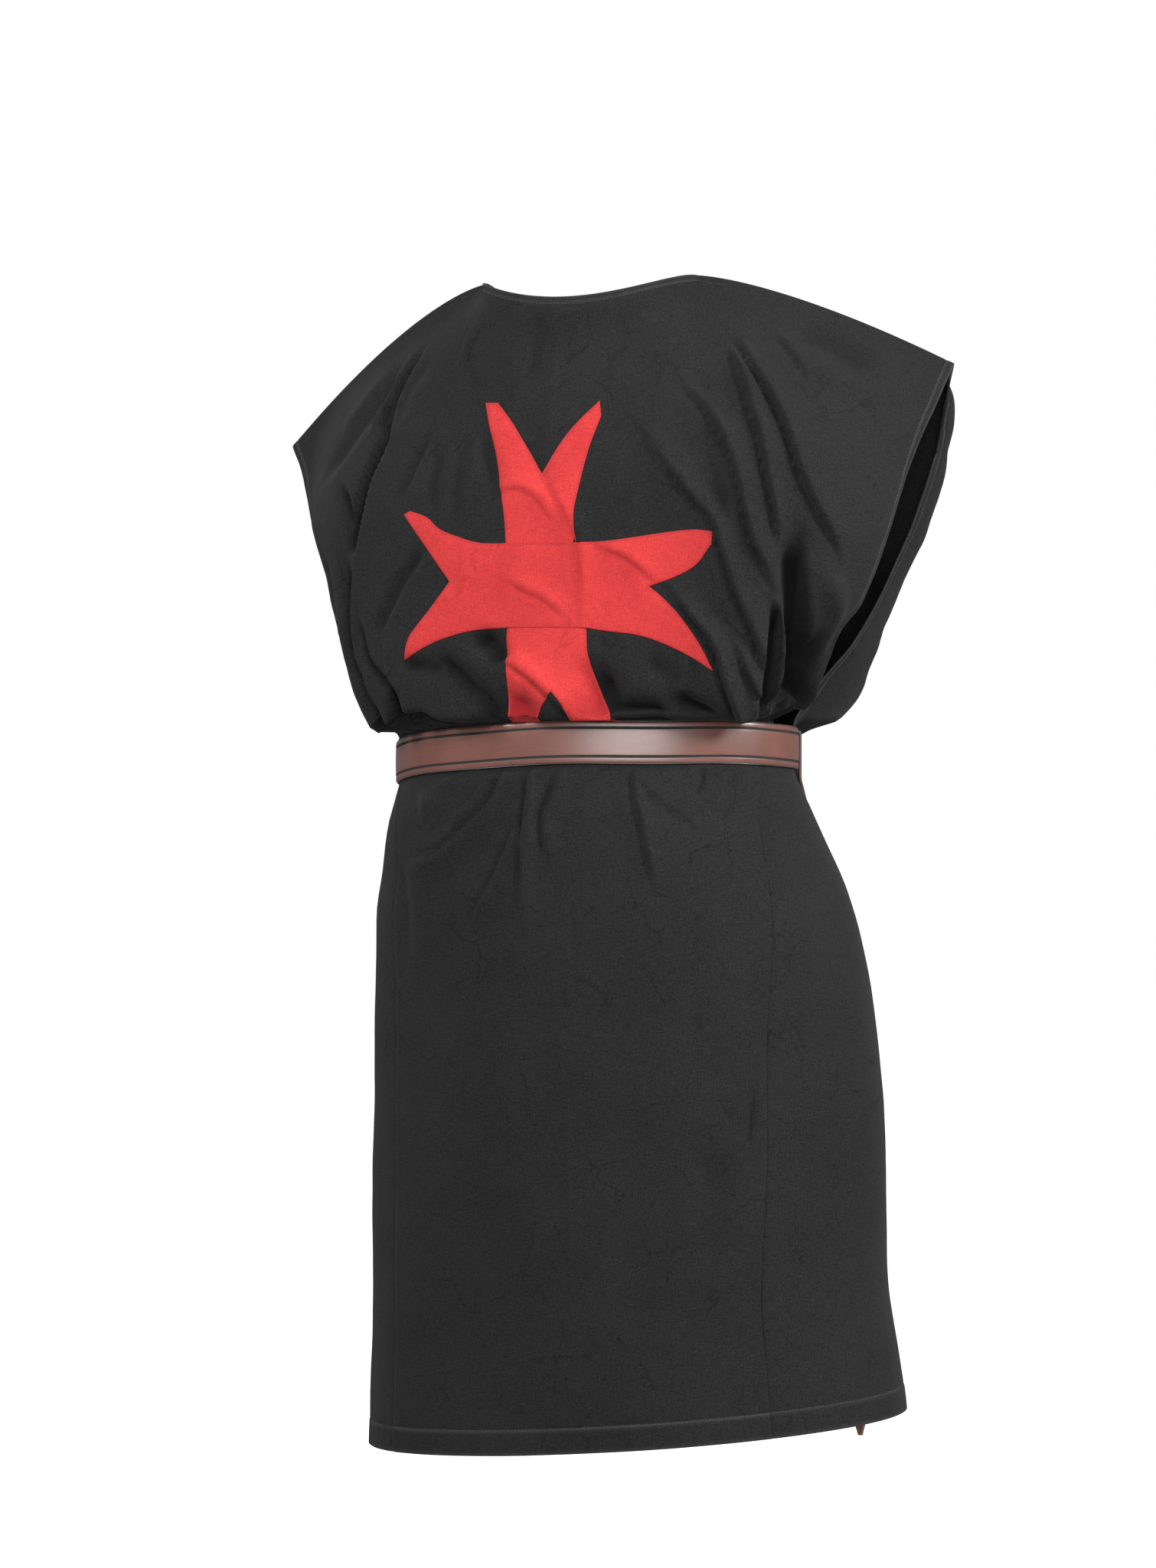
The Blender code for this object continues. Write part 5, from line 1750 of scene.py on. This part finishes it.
    def stitch_line(self, outline: Outline) -> List[Array]:
        """The path of the thread round a piece, split where a corner leaves a gap."""
        places = outline.inset(self.stitch_inset)
        points, normals, _ = self.on_back(places)
        points = points + normals * (self.lift + self.cloth + THREAD_LIFT)
        steps = np.linalg.norm(np.diff(points, axis=0), axis=1)
        breaks = np.flatnonzero(steps > self.longest_step) + 1
        return [part for part in np.split(points, breaks) if len(part) > 2]

    def build(self, red: Material) -> Tuple[List[Piece], List[Array]]:
        """Make both pieces, and give the paths of their stitches."""
        upright = Outline(UPRIGHT_EDGES)
        bar = Outline(BAR_EDGES)
        pieces = [
            self.piece("cross_upright", upright, None, red),
            self.piece("cross_bar", bar, upright, red),
        ]
        shown = []
        for line in self.stitch_line(upright):
            hidden = bar.depth(line[:, [0, 2]]) > -0.001
            shown += self.parts(line, ~hidden)
        for line in self.stitch_line(bar):
            over = upright.depth(line[:, [0, 2]]) > 0
            line[:, 1] += np.where(over, self.cloth + self.lift, 0)
            shown.append(line)
        return pieces, shown

    def parts(self, line: Array, keep: Array) -> List[Array]:
        """The runs of a line that are kept."""
        cuts = np.flatnonzero(np.diff(keep.astype(int))) + 1
        runs = zip(np.split(line, cuts), np.split(keep, cuts))
        return [part for part, kept in runs if kept[0] and len(part) > 2]


# ---- The belt ----


class Hang(NamedTuple):
    """One level of the belt's hanging end: its bearing from the centre front towards the wearer's
    right, in degrees, and how far its inner face lies outside the cloth's inner face."""

    drop: float
    bearing: float
    off: float


TAIL = [
    Hang(0.4276, 59, 0.0022),
    Hang(0.4276, 59, 0.0068),
    Hang(0.4288, 59, 0.0086),
    Hang(0.4315, 59, 0.0090),
    Hang(0.4480, 59, 0.0090),
    Hang(0.4690, 59, 0.0090),
    Hang(0.4850, 58, 0.0070),
    Hang(0.5100, 57, 0.0034),
    Hang(0.5450, 55, 0.0028),
    Hang(0.5900, 53, 0.0028),
    Hang(0.6300, 51, 0.0028),
    Hang(0.7150, 48, 0.0028),
    Hang(0.8100, 46, 0.0028),
    Hang(0.9400, 45, 0.0034),
    Hang(1.0780, 45, 0.0034),
    Hang(1.1170, 45, 0.0034),
]


HOOK_LEVELS = (0, 7, 0.125)
HOOK_ROWS = 3
TAIL_DROPS = (0.512, 1.1175, 0.0045)
CROWN = 0.0004
ROUNDED = 0.0011
ROUNDED_REACH = 0.0018
TOOLED = 0.00045
TOOLED_HALF = 0.0006
STRAP_STEPS = 420
STRAP_WANDER = ((0.0009, 3, 0.6), (0.0005, 7, 2.0))
TONGUE_STEPS = 170
CORNER_STEPS = 12
KEEPER_COLUMNS = 9
KEEPER_ROWS = 12
KEEPER_ENDS = 0.004
KEEPER_BEND = 0.3
KEEPER_THINNING = 0.35
KEEPER_DOME = 6
PRONG_STEPS = 40
PRONG_ON_TONGUE = 0.8
PRONG_PAST = math.radians(1.0)
PRONG_ROOT = 1.15
PRONG_TAPER = 0.35
PRONG_EASE = 3
SWELL = 0.16
SWELL_HALF = 0.004
TIP_LEAST = 0.03
TIP_CURVE = 0.65
HOLES = (26.5, 32.0, 43.5, 49.0)
HOLE_RADIUS = 0.0024
HOLE_RIM = 0.0006
HOLE_DEPTH = 0.0016
STITCH_BEARINGS = (8.6, 11.4)
STITCH_REACH = 0.0150
STITCH_POINTS = 14


@dataclass
class Belt:
    """A brown strap round the waist, its second layer through the buckle, and the end that hangs.

    Attributes:
        leather: The strap's finish.
        brass: The buckle's finish.
        tip: The length of the tail's point.
        front_radius: The waist's radius at the front, for turning lengths into bearings.
        tongue_start: Where the second layer starts, as a bearing in degrees.
        tongue_end: Where it ends, in degrees.
        buckle_bearing: The buckle's middle, in degrees.
        buckle_half: Half the frame, along and up.
        wire: The frame's radius.
        corner: The frame's corner radius.
        bar_reach: How far round the tongue takes to climb over the frame's bar, in degrees.
        bar_clear: The gap between the bar and the tongue.
        prong: The prong's radius.
        keeper_bearing: The keeper's middle, in degrees.
        keeper_width: The keeper's width along the strap.
        keeper_wall: The keeper's thickness.
        keeper_corner: How far in its corners are cut.
    """

    leather: Material
    brass: Material
    tip: float = 0.060
    front_radius: float = 0.240
    tongue_start: float = 15.8
    tongue_end: float = 58.0
    buckle_bearing: float = 19.0
    buckle_half: Tuple[float, float] = (0.019, 0.0245)
    wire: float = 0.0020
    corner: float = 0.008
    bar_reach: float = 3.0
    bar_clear: float = 0.0010
    prong: float = 0.0014
    keeper_bearing: float = 38.0
    keeper_width: float = 0.012
    keeper_wall: float = 0.0018
    keeper_corner: float = 0.0012

    def point(self, bearing: Array, level: Array, off: Array) -> Array:
        """Points off the belt's inner face, at bearings in radians from the centre front."""
        bearing, level, off = np.broadcast_arrays(bearing, level, off)
        x = BELT_CENTRE - (BELT_HALF + off) * np.sin(bearing)
        y = -(BELT_DEPTH + off) * np.cos(bearing)
        return np.stack([x, y, -level + BELT_TILT_X * x + BELT_TILT_Y * y], axis=-1)

    def section(self, across: Array) -> Array:
        """The outer face's height across the strap: a low crown, rounded edges and two grooves."""
        half = BELT_WIDTH / 2
        crown = -CROWN * (across / half) ** 2
        rounded = -ROUNDED * smooth_step((np.abs(across) - half + ROUNDED_REACH) / ROUNDED_REACH)
        away = np.abs(np.abs(across) - LINE_FROM_MIDDLE)
        return crown + rounded - TOOLED * bell(away, TOOLED_HALF)

    def across(self) -> Array:
        """Places across the strap, crowded at its lines and edges."""
        half = BELT_WIDTH / 2
        line = LINE_FROM_MIDDLE
        one = [0, 0.003, 0.006, 0.009, 0.0112, line - 0.0009, line - 0.0004, line, line + 0.0004]
        one += [line + 0.0009, 0.0152, 0.0170, half - 0.0012, half - 0.0005, half]
        return np.concatenate([-np.array(one[:0:-1]), one])

    def finish(
        self,
        name: str,
        outer: Array,
        normals: Array,
        thickness: Array,
        place: Array,
        wear: Array,
        looped: bool = False,
    ) -> Piece:
        """Make one leather piece, with rounded edges, in its node's place."""
        shell = Shell(outer, normals, thickness, place, wear, looped=looped, roundness=STRAP_ROUND)
        return dress(name, shell.mesh(name), self.leather, "brown_leather")

    def wrapped(
        self,
        name: str,
        bearing: Array,
        level: Array,
        off: Array,
        rise: Array,
        wear: Array,
        radius: float,
        looped: bool = False,
    ) -> Piece:
        """A layer of the strap that lies round the waist.

        Args:
            name: Its node.
            bearing: The bearing of each row, in radians.
            level: How far each point lies below the origin, on the belt's plane.
            off: How far its inner face lies off the belt's.
            rise: Its thickness.
            wear: How dark each point is.
            radius: The radius that turns a bearing into a length along the strap.
            looped: Whether its ends join.

        Returns:
            The piece.
        """
        outer = self.point(bearing, level, off + rise)
        inner = self.point(bearing, level, off)
        thickness = np.linalg.norm(outer - inner, axis=-1)
        place = np.stack(np.broadcast_arrays(self.across()[None], bearing * radius), axis=-1)
        normals = unit(outer - inner)
        return self.finish(name, outer, normals, thickness, place, wear + 0 * thickness, looped)

    def strap(self) -> Piece:
        """The closed loop round the waist."""
        bearing = np.linspace(0, 2 * math.pi, STRAP_STEPS, endpoint=False)[:, None]
        across = self.across()[None]
        wander = sum(height * np.sin(waves * bearing + start) for height, waves, start in STRAP_WANDER)
        level = BELT_DROP - across + wander
        rise = LEATHER + self.section(across)
        radius = (BELT_HALF + BELT_DEPTH) / 2
        return self.wrapped("belt_strap", bearing, level, 0, rise, 0, radius, looped=True)

    def tongue_off(self, bearing: Array) -> Array:
        """How far the tongue's inner face lies off the belt's: it climbs over the buckle's bar."""
        bar = self.buckle_bearing + math.degrees(self.buckle_half[0] / self.front_radius)
        rise = bell(bearing - bar, self.bar_reach)
        return LEATHER + SEAM_GAP + rise * (2 * self.wire + self.bar_clear)

    def tongue(self) -> Piece:
        """The strap's second layer, with its holes."""
        degrees = np.linspace(self.tongue_start, self.tongue_end, TONGUE_STEPS)[:, None]
        across = self.across()[None]
        bearing = np.radians(degrees)
        holes = np.zeros(np.broadcast_shapes(degrees.shape, across.shape))
        for hole in HOLES:
            along = np.radians(degrees - hole) * self.front_radius
            holes = np.maximum(holes, smooth_step((HOLE_RADIUS - np.hypot(along, across)) / HOLE_RIM))
        rise = LEATHER + self.section(across) - HOLE_DEPTH * holes
        off, level = self.tongue_off(degrees), BELT_DROP - across
        return self.wrapped("belt_tongue", bearing, level, off, rise, holes, self.front_radius)

    def tail(self) -> Piece:
        """The long free end, hooked over the belt, lying down the front to a pointed tip."""
        rings = np.array([row.drop for row in SKIRT])
        across = self.across()
        sections = []
        for hang in TAIL:
            ring = Ring(*(np.interp(hang.drop, rings, column) for column in zip(*SKIRT)))
            turn = math.pi + math.radians(hang.bearing) - across / ring.half
            points = ring_point(ring, turn)
            points += np.stack([np.sin(turn), np.cos(turn), 0 * turn], axis=1) * hang.off
            points[:, 2] = -hang.drop + ring.tilt_x * points[:, 0] + ring.tilt_y * points[:, 1]
            sections.append(points)
        at = np.arange(len(TAIL), dtype=float)
        drops = [hang.drop for hang in TAIL]
        hanging = np.interp(np.arange(*TAIL_DROPS), drops[HOOK_ROWS:], at[HOOK_ROWS:])
        levels = np.concatenate([np.arange(*HOOK_LEVELS), hanging])
        points = loft(np.array(sections), at, levels)
        middle = points[:, [points.shape[1] // 2]]
        side = np.linalg.norm(points[:, 0] - middle[:, 0], axis=1)
        to_tip = np.linalg.norm(middle[-1, 0] - middle[:, 0], axis=1)
        share = np.clip(to_tip / self.tip, TIP_LEAST, 1) ** TIP_CURVE
        narrow = BELT_WIDTH / 2 * share
        points = middle + (points - middle) * (narrow / np.maximum(side, 1e-4))[:, None, None]
        normals = turned_to(outward(points, 1), (-1, -1, 0))
        rise = LEATHER + self.section(across)[None] * share[:, None]
        outer = points + normals * rise[..., None]
        place = np.stack([across[None] * share[:, None], run_down(points)], axis=-1)
        return self.finish("belt_tail", outer, normals, rise, place, 0 * rise)

    def buckle(self) -> List[Piece]:
        """The frame, lying on the strap round the tongue's start, and the prong across it."""
        half_along, half_up = self.buckle_half
        corner = self.corner
        path = []
        for quarter in range(4):
            along = (half_along - corner) * (1 if quarter in (0, 3) else -1)
            up = (half_up - corner) * (1 if quarter in (0, 1) else -1)
            for step in range(CORNER_STEPS + 1):
                angle = (quarter + step / CORNER_STEPS) * math.pi / 2
                path.append((along + corner * math.cos(angle), up + corner * math.sin(angle)))
        path = np.array(path)
        middle = math.radians(self.buckle_bearing)
        off = LEATHER + SEAM_GAP + self.wire
        frame_path = self.point(middle + path[:, 0] / self.front_radius, BELT_DROP - path[:, 1], off)
        swell = 1 + SWELL * bell(path[:, 0] + half_along, SWELL_HALF)
        frame = Tube(frame_path, self.wire * swell, True).mesh("buckle_frame")
        bar = middle + half_along / self.front_radius
        rail = middle - half_along / self.front_radius
        share = np.linspace(0, 1, PRONG_STEPS)
        bearing = bar + (rail - PRONG_PAST - bar) * share
        on_tongue = self.tongue_off(np.degrees(bearing)) + LEATHER
        tongue = np.where(share < PRONG_ON_TONGUE, on_tongue, 0)
        clear = np.maximum(tongue, LEATHER + SEAM_GAP + 2 * self.wire) + 2 * SEAM_GAP + self.prong
        window = 2 * PRONG_EASE + 1
        held = np.pad(clear, PRONG_EASE, mode="edge")
        eased = np.convolve(held, np.ones(window) / window, mode="valid")
        clear = np.maximum(clear, eased)
        radius = self.prong * (PRONG_ROOT - PRONG_TAPER * share)
        prong_path = self.point(bearing, BELT_DROP, clear)
        prong = Tube(prong_path, radius, False).mesh("buckle_prong")
        meshes = {"buckle_frame": frame, "buckle_prong": prong}
        return [dress(node, mesh, self.brass, "antique_brass") for node, mesh in meshes.items()]

    def keeper(self) -> Piece:
        """The loop that holds the tongue down."""
        top = BELT_DROP - BELT_WIDTH / 2 - SEAM_GAP
        bottom = BELT_DROP + BELT_WIDTH / 2 + SEAM_GAP
        over = 2 * LEATHER + 2 * SEAM_GAP
        corner = self.keeper_corner
        cut = corner * KEEPER_BEND
        bend = [(0.0, 0.0), (0.0, over - corner), (cut, over - cut), (corner, over)]
        path = [(top + along, off) for along, off in bend]
        flat = np.linspace(top + KEEPER_ENDS, bottom - KEEPER_ENDS, KEEPER_ROWS)
        path += [(level, over) for level in flat]
        path += [(bottom - along, off) for along, off in bend[::-1]]
        path = np.array(path)
        half = self.keeper_width / 2 / self.front_radius
        turn = math.radians(self.keeper_bearing) + np.linspace(-half, half, KEEPER_COLUMNS)[None]
        points = self.point(turn, path[:, :1], path[:, 1:])
        normals = turned_to(outward(points, 1), (0, -1, 0))
        sides = np.linspace(-1, 1, KEEPER_COLUMNS)[None]
        dome = 1 - KEEPER_THINNING * np.abs(sides) ** KEEPER_DOME
        rise = self.keeper_wall * dome + 0 * path[:, :1]
        run = run_down(points)
        place = np.stack([sides * (self.keeper_width / 2) + 0 * run, run], axis=-1)
        outer = points + normals * rise[..., None]
        return self.finish("belt_keeper", outer, normals, rise, place, 0 * rise)

    def stitch_lines(self) -> List[Array]:
        """Two short rows that hold the strap's fold round the buckle's bar."""
        lines = []
        for degrees in STITCH_BEARINGS:
            level = BELT_DROP + np.linspace(-STITCH_REACH, STITCH_REACH, STITCH_POINTS)
            rise = LEATHER + self.section(BELT_DROP - level) + THREAD_LIFT
            lines.append(self.point(np.full(STITCH_POINTS, math.radians(degrees)), level, rise))
        return lines

    def build(self) -> None:
        """Make every piece of the belt."""
        for make in (self.strap, self.tongue, self.tail, self.keeper, self.buckle):
            make()


# ---- Stitches ----

TREE_INPUTS = {
    "Paths": "Geometry",
    "Spacing": "Float",
    "Half length": "Float",
    "Thread radius": "Float",
    "Seed": "Int",
    "Thread": "Material",
}


@dataclass
class Stitching:
    """Rows of stitches along paths, made by one tree of geometry nodes.

    Attributes:
        name: The piece's name.
        slot: The record's slot for its finish. It is not used.
        length: The length of a stitch.
        gap: The gap between two stitches.
        thread: The thread's radius.
        seed: What the small differences between stitches start from.
    """

    name: str
    slot: str
    length: float
    gap: float
    thread: float
    seed: int

    def tree(self) -> bpy.types.NodeTree:
        """The tree that lays a stitch at each step along the paths."""
        tree = bpy.data.node_groups.new(self.name + "_tree", "GeometryNodeTree")
        for label, kind in TREE_INPUTS.items():
            tree.interface.new_socket(label, in_out="INPUT", socket_type="NodeSocket" + kind)
        tree.interface.new_socket("Stitches", in_out="OUTPUT", socket_type="NodeSocketGeometry")

        def add(kind: str, inputs: Optional[Dict] = None, **settings: object) -> bpy.types.NodeOutputs:
            """The outputs of a new node."""
            return add_node(tree, kind, inputs, **settings).outputs

        given = add("NodeGroupInput")
        curve = add("GeometryNodeMeshToCurve", {"Mesh": given["Paths"]})
        steps = {"Curve": curve[0], "Length": given["Spacing"]}
        points = add("GeometryNodeResampleCurve", steps, mode="LENGTH")
        ball = add("GeometryNodeMeshUVSphere", {"Segments": 6, "Rings": 5, "Radius": 1.0})
        thick = given["Thread radius"]
        size = add("ShaderNodeCombineXYZ", {0: given["Half length"], 1: thick, 2: thick})
        stitch = add("GeometryNodeTransform", {"Geometry": ball["Mesh"], "Scale": size[0]})
        tangent = add("GeometryNodeInputTangent")
        turn = add("FunctionNodeAlignRotationToVector", {"Vector": tangent[0]}, axis="X")
        spread_of_sizes = {2: 0.85, 3: 1.1, "Seed": given["Seed"]}
        vary = add("FunctionNodeRandomValue", spread_of_sizes, data_type="FLOAT")
        wanted = {"Points": points[0], "Instance": stitch[0], "Rotation": turn[0], "Scale": vary[1]}
        laid = add("GeometryNodeInstanceOnPoints", wanted)
        real = add("GeometryNodeRealizeInstances", {0: laid[0]})
        soft = add("GeometryNodeSetShadeSmooth", {0: real[0]})
        made = add("GeometryNodeSetMaterial", {"Geometry": soft[0], "Material": given["Thread"]})
        add("NodeGroupOutput", {0: made[0]})
        return tree

    def build(self, lines: List[Array], material: Material) -> Piece:
        """Lay the stitches and keep them as one plain mesh.

        Args:
            lines: The paths.
            material: The thread's finish.

        Returns:
            The stitches.
        """
        points = np.concatenate(lines)
        edges = []
        start = 0
        for line in lines:
            edges += [(start + i, start + i + 1) for i in range(len(line) - 1)]
            start += len(line)
        mesh = bpy.data.meshes.new(self.name + "_paths")
        mesh.from_pydata([tuple(p) for p in points], edges, [])
        guide = placed(self.name + "_paths", mesh)
        modifier = guide.modifiers.new("Stitches", "NODES")
        modifier.node_group = self.tree()
        given = {
            "Spacing": self.length + self.gap,
            "Half length": self.length / 2,
            "Thread radius": self.thread,
            "Seed": self.seed,
            "Thread": material,
        }
        for item in modifier.node_group.interface.items_tree:
            if item.in_out == "INPUT" and item.name in given:
                modifier[item.identifier] = given[item.name]
        graph = bpy.context.evaluated_depsgraph_get()
        made = bpy.data.meshes.new_from_object(guide.evaluated_get(graph))
        made.name = self.name
        bpy.data.objects.remove(guide, do_unlink=True)
        made.materials.clear()
        piece = link(self.name, made, material)
        return piece


# ---- The studio ----


class Lamp(NamedTuple):
    """A soft lamp aimed at the surcoat's middle: how far it stands to the camera's right of it, towards
    the camera and up, its width and height, and its power in watts."""

    name: str
    right: float
    ahead: float
    up: float
    size: Tuple[float, float]
    power: float


LAMPS = [
    Lamp("key", 3.0, 1.4, 1.6, (0.9, 0.9), 128),
    Lamp("front", 0.3, 2.9, 1.8, (1.6, 0.8), 68),
    Lamp("low", -0.2, 3.7, 0.14, (2.4, 0.34), 50),
    Lamp("left", -2.3, 0.9, 1.7, (1.0, 1.0), 46),
]
AIM = (0, 0, -0.5)
WHITE = (1.0, 1.0, 1.0, 1.0)
RIM_STEPS = 96


@dataclass
class Studio:
    """A pale floor, soft lights and the camera."""

    camera_turn: float = math.radians(20)
    distance: float = 4.2
    aside: float = -0.013
    height: float = -0.474
    lens: float = 102.5
    floor_drop: float = 1.50
    floor_radius: float = 14.0
    floor_glow: float = 0.03
    floor_return: float = 0.30
    room: float = 0.20

    def toward(self) -> Tuple[Vector, Vector]:
        """The directions to the camera's right and to the camera."""
        turn = self.camera_turn
        right = Vector((-math.cos(turn), -math.sin(turn), 0))
        back = Vector((-math.sin(turn), math.cos(turn), 0))
        return right, back

    def camera(self) -> None:
        """Set up the camera."""
        right, back = self.toward()
        data = bpy.data.cameras.new("camera")
        data.lens = self.lens
        data.sensor_width = 36
        data.clip_end = 60
        made = placed("camera", data)
        made.location = right * self.aside + back * self.distance + Vector((0, 0, self.height))
        made.rotation_euler = back.to_track_quat("Z", "Y").to_euler()
        bpy.context.scene.camera = made

    def light(self, lamp: Lamp) -> None:
        """Set up one lamp."""
        to_right, to_camera = self.toward()
        data = bpy.data.lights.new(lamp.name, "AREA")
        data.shape = "RECTANGLE"
        data.size, data.size_y = lamp.size
        data.energy = lamp.power
        made = placed(lamp.name, data)
        offset = to_right * lamp.right + to_camera * lamp.ahead + Vector((0, 0, lamp.up))
        made.location = Vector(AIM) + offset
        made.rotation_euler = offset.to_track_quat("Z", "Y").to_euler()

    def floor(self) -> None:
        """A wide pale floor."""
        turn = np.arange(RIM_STEPS) / RIM_STEPS * 2 * math.pi
        radius = self.floor_radius
        rim = [(radius * math.cos(t), radius * math.sin(t), -self.floor_drop) for t in turn]
        mesh = bpy.data.meshes.new("floor")
        mesh.from_pydata(rim, [], [tuple(range(RIM_STEPS))])
        graph = Graph("floor paper")
        tone = graph.cloud(graph.object_place(), 3.0, 2.0)
        seen = graph.node("LightPath").outputs["Is Camera Ray"]
        colour = graph.mix(tone, rgba((0.86, 0.86, 0.86)), rgba((0.90, 0.90, 0.90)))
        colour = graph.mix(seen, rgba((self.floor_return,) * 3), colour)
        paper = graph.dress(
            Base_Color=colour,
            Roughness=0.9,
            Emission_Color=graph.mix(seen, rgba((self.floor_glow,) * 3), rgba((1.0, 1.0, 1.0))),
            Emission_Strength=1.0,
        )
        mesh.materials.append(paper)
        made = placed("floor", mesh)

    def build(self) -> None:
        """Set up the whole studio."""
        self.camera()
        self.floor()
        world = bpy.data.worlds.new("studio")
        world.use_nodes = True
        tree = world.node_tree
        room = tree.nodes["Background"]
        room.inputs["Color"].default_value = WHITE
        room.inputs["Strength"].default_value = self.room
        paper = add_node(tree, "ShaderNodeBackground", {"Color": WHITE}).outputs[0]
        seen = add_node(tree, "ShaderNodeLightPath").outputs["Is Camera Ray"]
        both = add_node(tree, "ShaderNodeMixShader", {0: seen, 1: room.outputs[0], 2: paper})
        feed(tree, tree.nodes["World Output"].inputs[0], both.outputs[0])
        bpy.context.scene.world = world
        for lamp in LAMPS:
            self.light(lamp)
        bpy.context.scene.view_settings.view_transform = "Standard"


# ---- The finishes in use, and the order of building ----


BLACK_COTTON = CottonFinish(
    name="black cotton",
    dark=(0.0092, 0.0092, 0.0092),
    light=(0.0225, 0.0225, 0.0225),
    edge_wear_and_shade=(0.070, 0.070, 0.070),
    painted_fold_shade=(0.0030, 0.0030, 0.0031),
    # The darkest black, for painted shade deep in folds.
    lint=(0.20, 0.20, 0.20),
    pitch=0.00056,
    weave_depth=0.00022,
    patchiness=0.6,
    streakiness=1.5,
    graininess=1.9,
    creasing=1.3,
    cell_scale=24.0,
    wear=0.8,
    # How strongly painted shade darkens the black deep in folds.
    kept=0.85,
    sheen=0.05,
    lint_amount=0.6,
)
RED_COTTON = CottonFinish(
    name="red cotton",
    dark=(0.41, 0.027, 0.029),
    light=(0.59, 0.048, 0.047),
    # Painted shade: the red is darker at the cross's turned edges.
    edge_wear_and_shade=(0.36, 0.016, 0.020),
    # The darker red, for painted shade deep in folds.
    painted_fold_shade=(0.22, 0.010, 0.013),
    lint=(0.75, 0.60, 0.50),
    pitch=0.00070,
    weave_depth=0.00026,
    patchiness=1.1,
    streakiness=1.5,
    graininess=1.5,
    creasing=0.0,
    cell_scale=20.0,
    wear=0.5,
    # How strongly painted shade darkens the red deep in folds.
    kept=0.9,
    sheen=0.03,
    lint_amount=0.25,
)
BROWN_LEATHER = LeatherFinish(
    name="brown leather",
    deep=(0.100, 0.031, 0.021),
    warm=(0.215, 0.078, 0.056),
    line=(0.012, 0.011, 0.011),
    flesh=(0.27, 0.17, 0.11),
    half_width=BELT_WIDTH / 2,
    line_from_middle=LINE_FROM_MIDDLE,
    line_half=0.0016,
)
BRASS = MetalFinish(name="antique brass", bright=(0.52, 0.37, 0.16), film=(0.16, 0.11, 0.06))
BLACK_THREAD = ThreadFinish(name="black thread", colour=(0.060, 0.060, 0.062), shadow=(0.020, 0.020, 0.021))
RED_THREAD = ThreadFinish(name="red thread", colour=(0.46, 0.026, 0.030), shadow=(0.24, 0.012, 0.015))
TAN_THREAD = ThreadFinish(name="waxed thread", colour=(0.45, 0.36, 0.24), shadow=(0.25, 0.19, 0.12))


def main() -> None:
    """Build every piece of the surcoat and light it."""
    cotton = BLACK_COTTON.material()
    red = RED_COTTON.material()
    back = Panel(
        "back_panel", (0.72, 1.13), 0.58, columns=140, seed=11.0, facing=+1, folds=BACK_FOLDS, droop=0.0075
    )
    front = Panel(
        "front_panel",
        (0.72, 1.10),
        0.60,
        columns=64,
        seed=23.0,
        facing=-1,
        folds=FRONT_FOLDS,
        droop=0.0045,
        thinning=1.35,
    )
    gores = [
        Gore("gore_left", (0.30, 0.66), 0.125, columns=34, seed=37.0, side=+1),
        Gore("gore_right", (0.31, 0.66), 0.130, columns=34, seed=41.0, side=-1),
    ]
    panels = [back, front]
    sheets = {panel.name: panel.build(cotton) for panel in panels}
    sheets.update({gore.name: gore.build(cotton) for gore in gores})
    cross_pieces, cross_lines = Cross(back).build(red)
    belt = Belt(BROWN_LEATHER.material(), BRASS.material())
    belt.build()
    hems = []
    for panel in panels:
        hems.append(panel.inset(Edge.HEM, TURNED_HEM))
        hems.append(panel.inset(Edge.TOP, TURNED_EDGE, 0.36, 0.64))
        for edge in (Edge.LEFT, Edge.RIGHT):
            hems.append(panel.inset(edge, TURNED_EDGE, 0.02, 0.50))
    hems += [gore.inset(Edge.HEM, TURNED_HEM) for gore in gores]
    hem_stitches = Stitching("hem_stitches", "black_cotton", 0.0026, 0.0010, 0.00022, 3).build(
        hems, BLACK_THREAD.material()
    )
    cross_stitches = Stitching("cross_stitches", "red_cotton", 0.0022, 0.0008, 0.00020, 5).build(
        cross_lines, RED_THREAD.material()
    )
    Stitching("belt_stitches", "brown_leather", 0.0030, 0.0012, 0.00040, 7).build(
        belt.stitch_lines(), TAN_THREAD.material()
    )
    Studio().build()


if __name__ == "__main__":
    logging.basicConfig(level=logging.INFO, format="%(message)s")
    main()
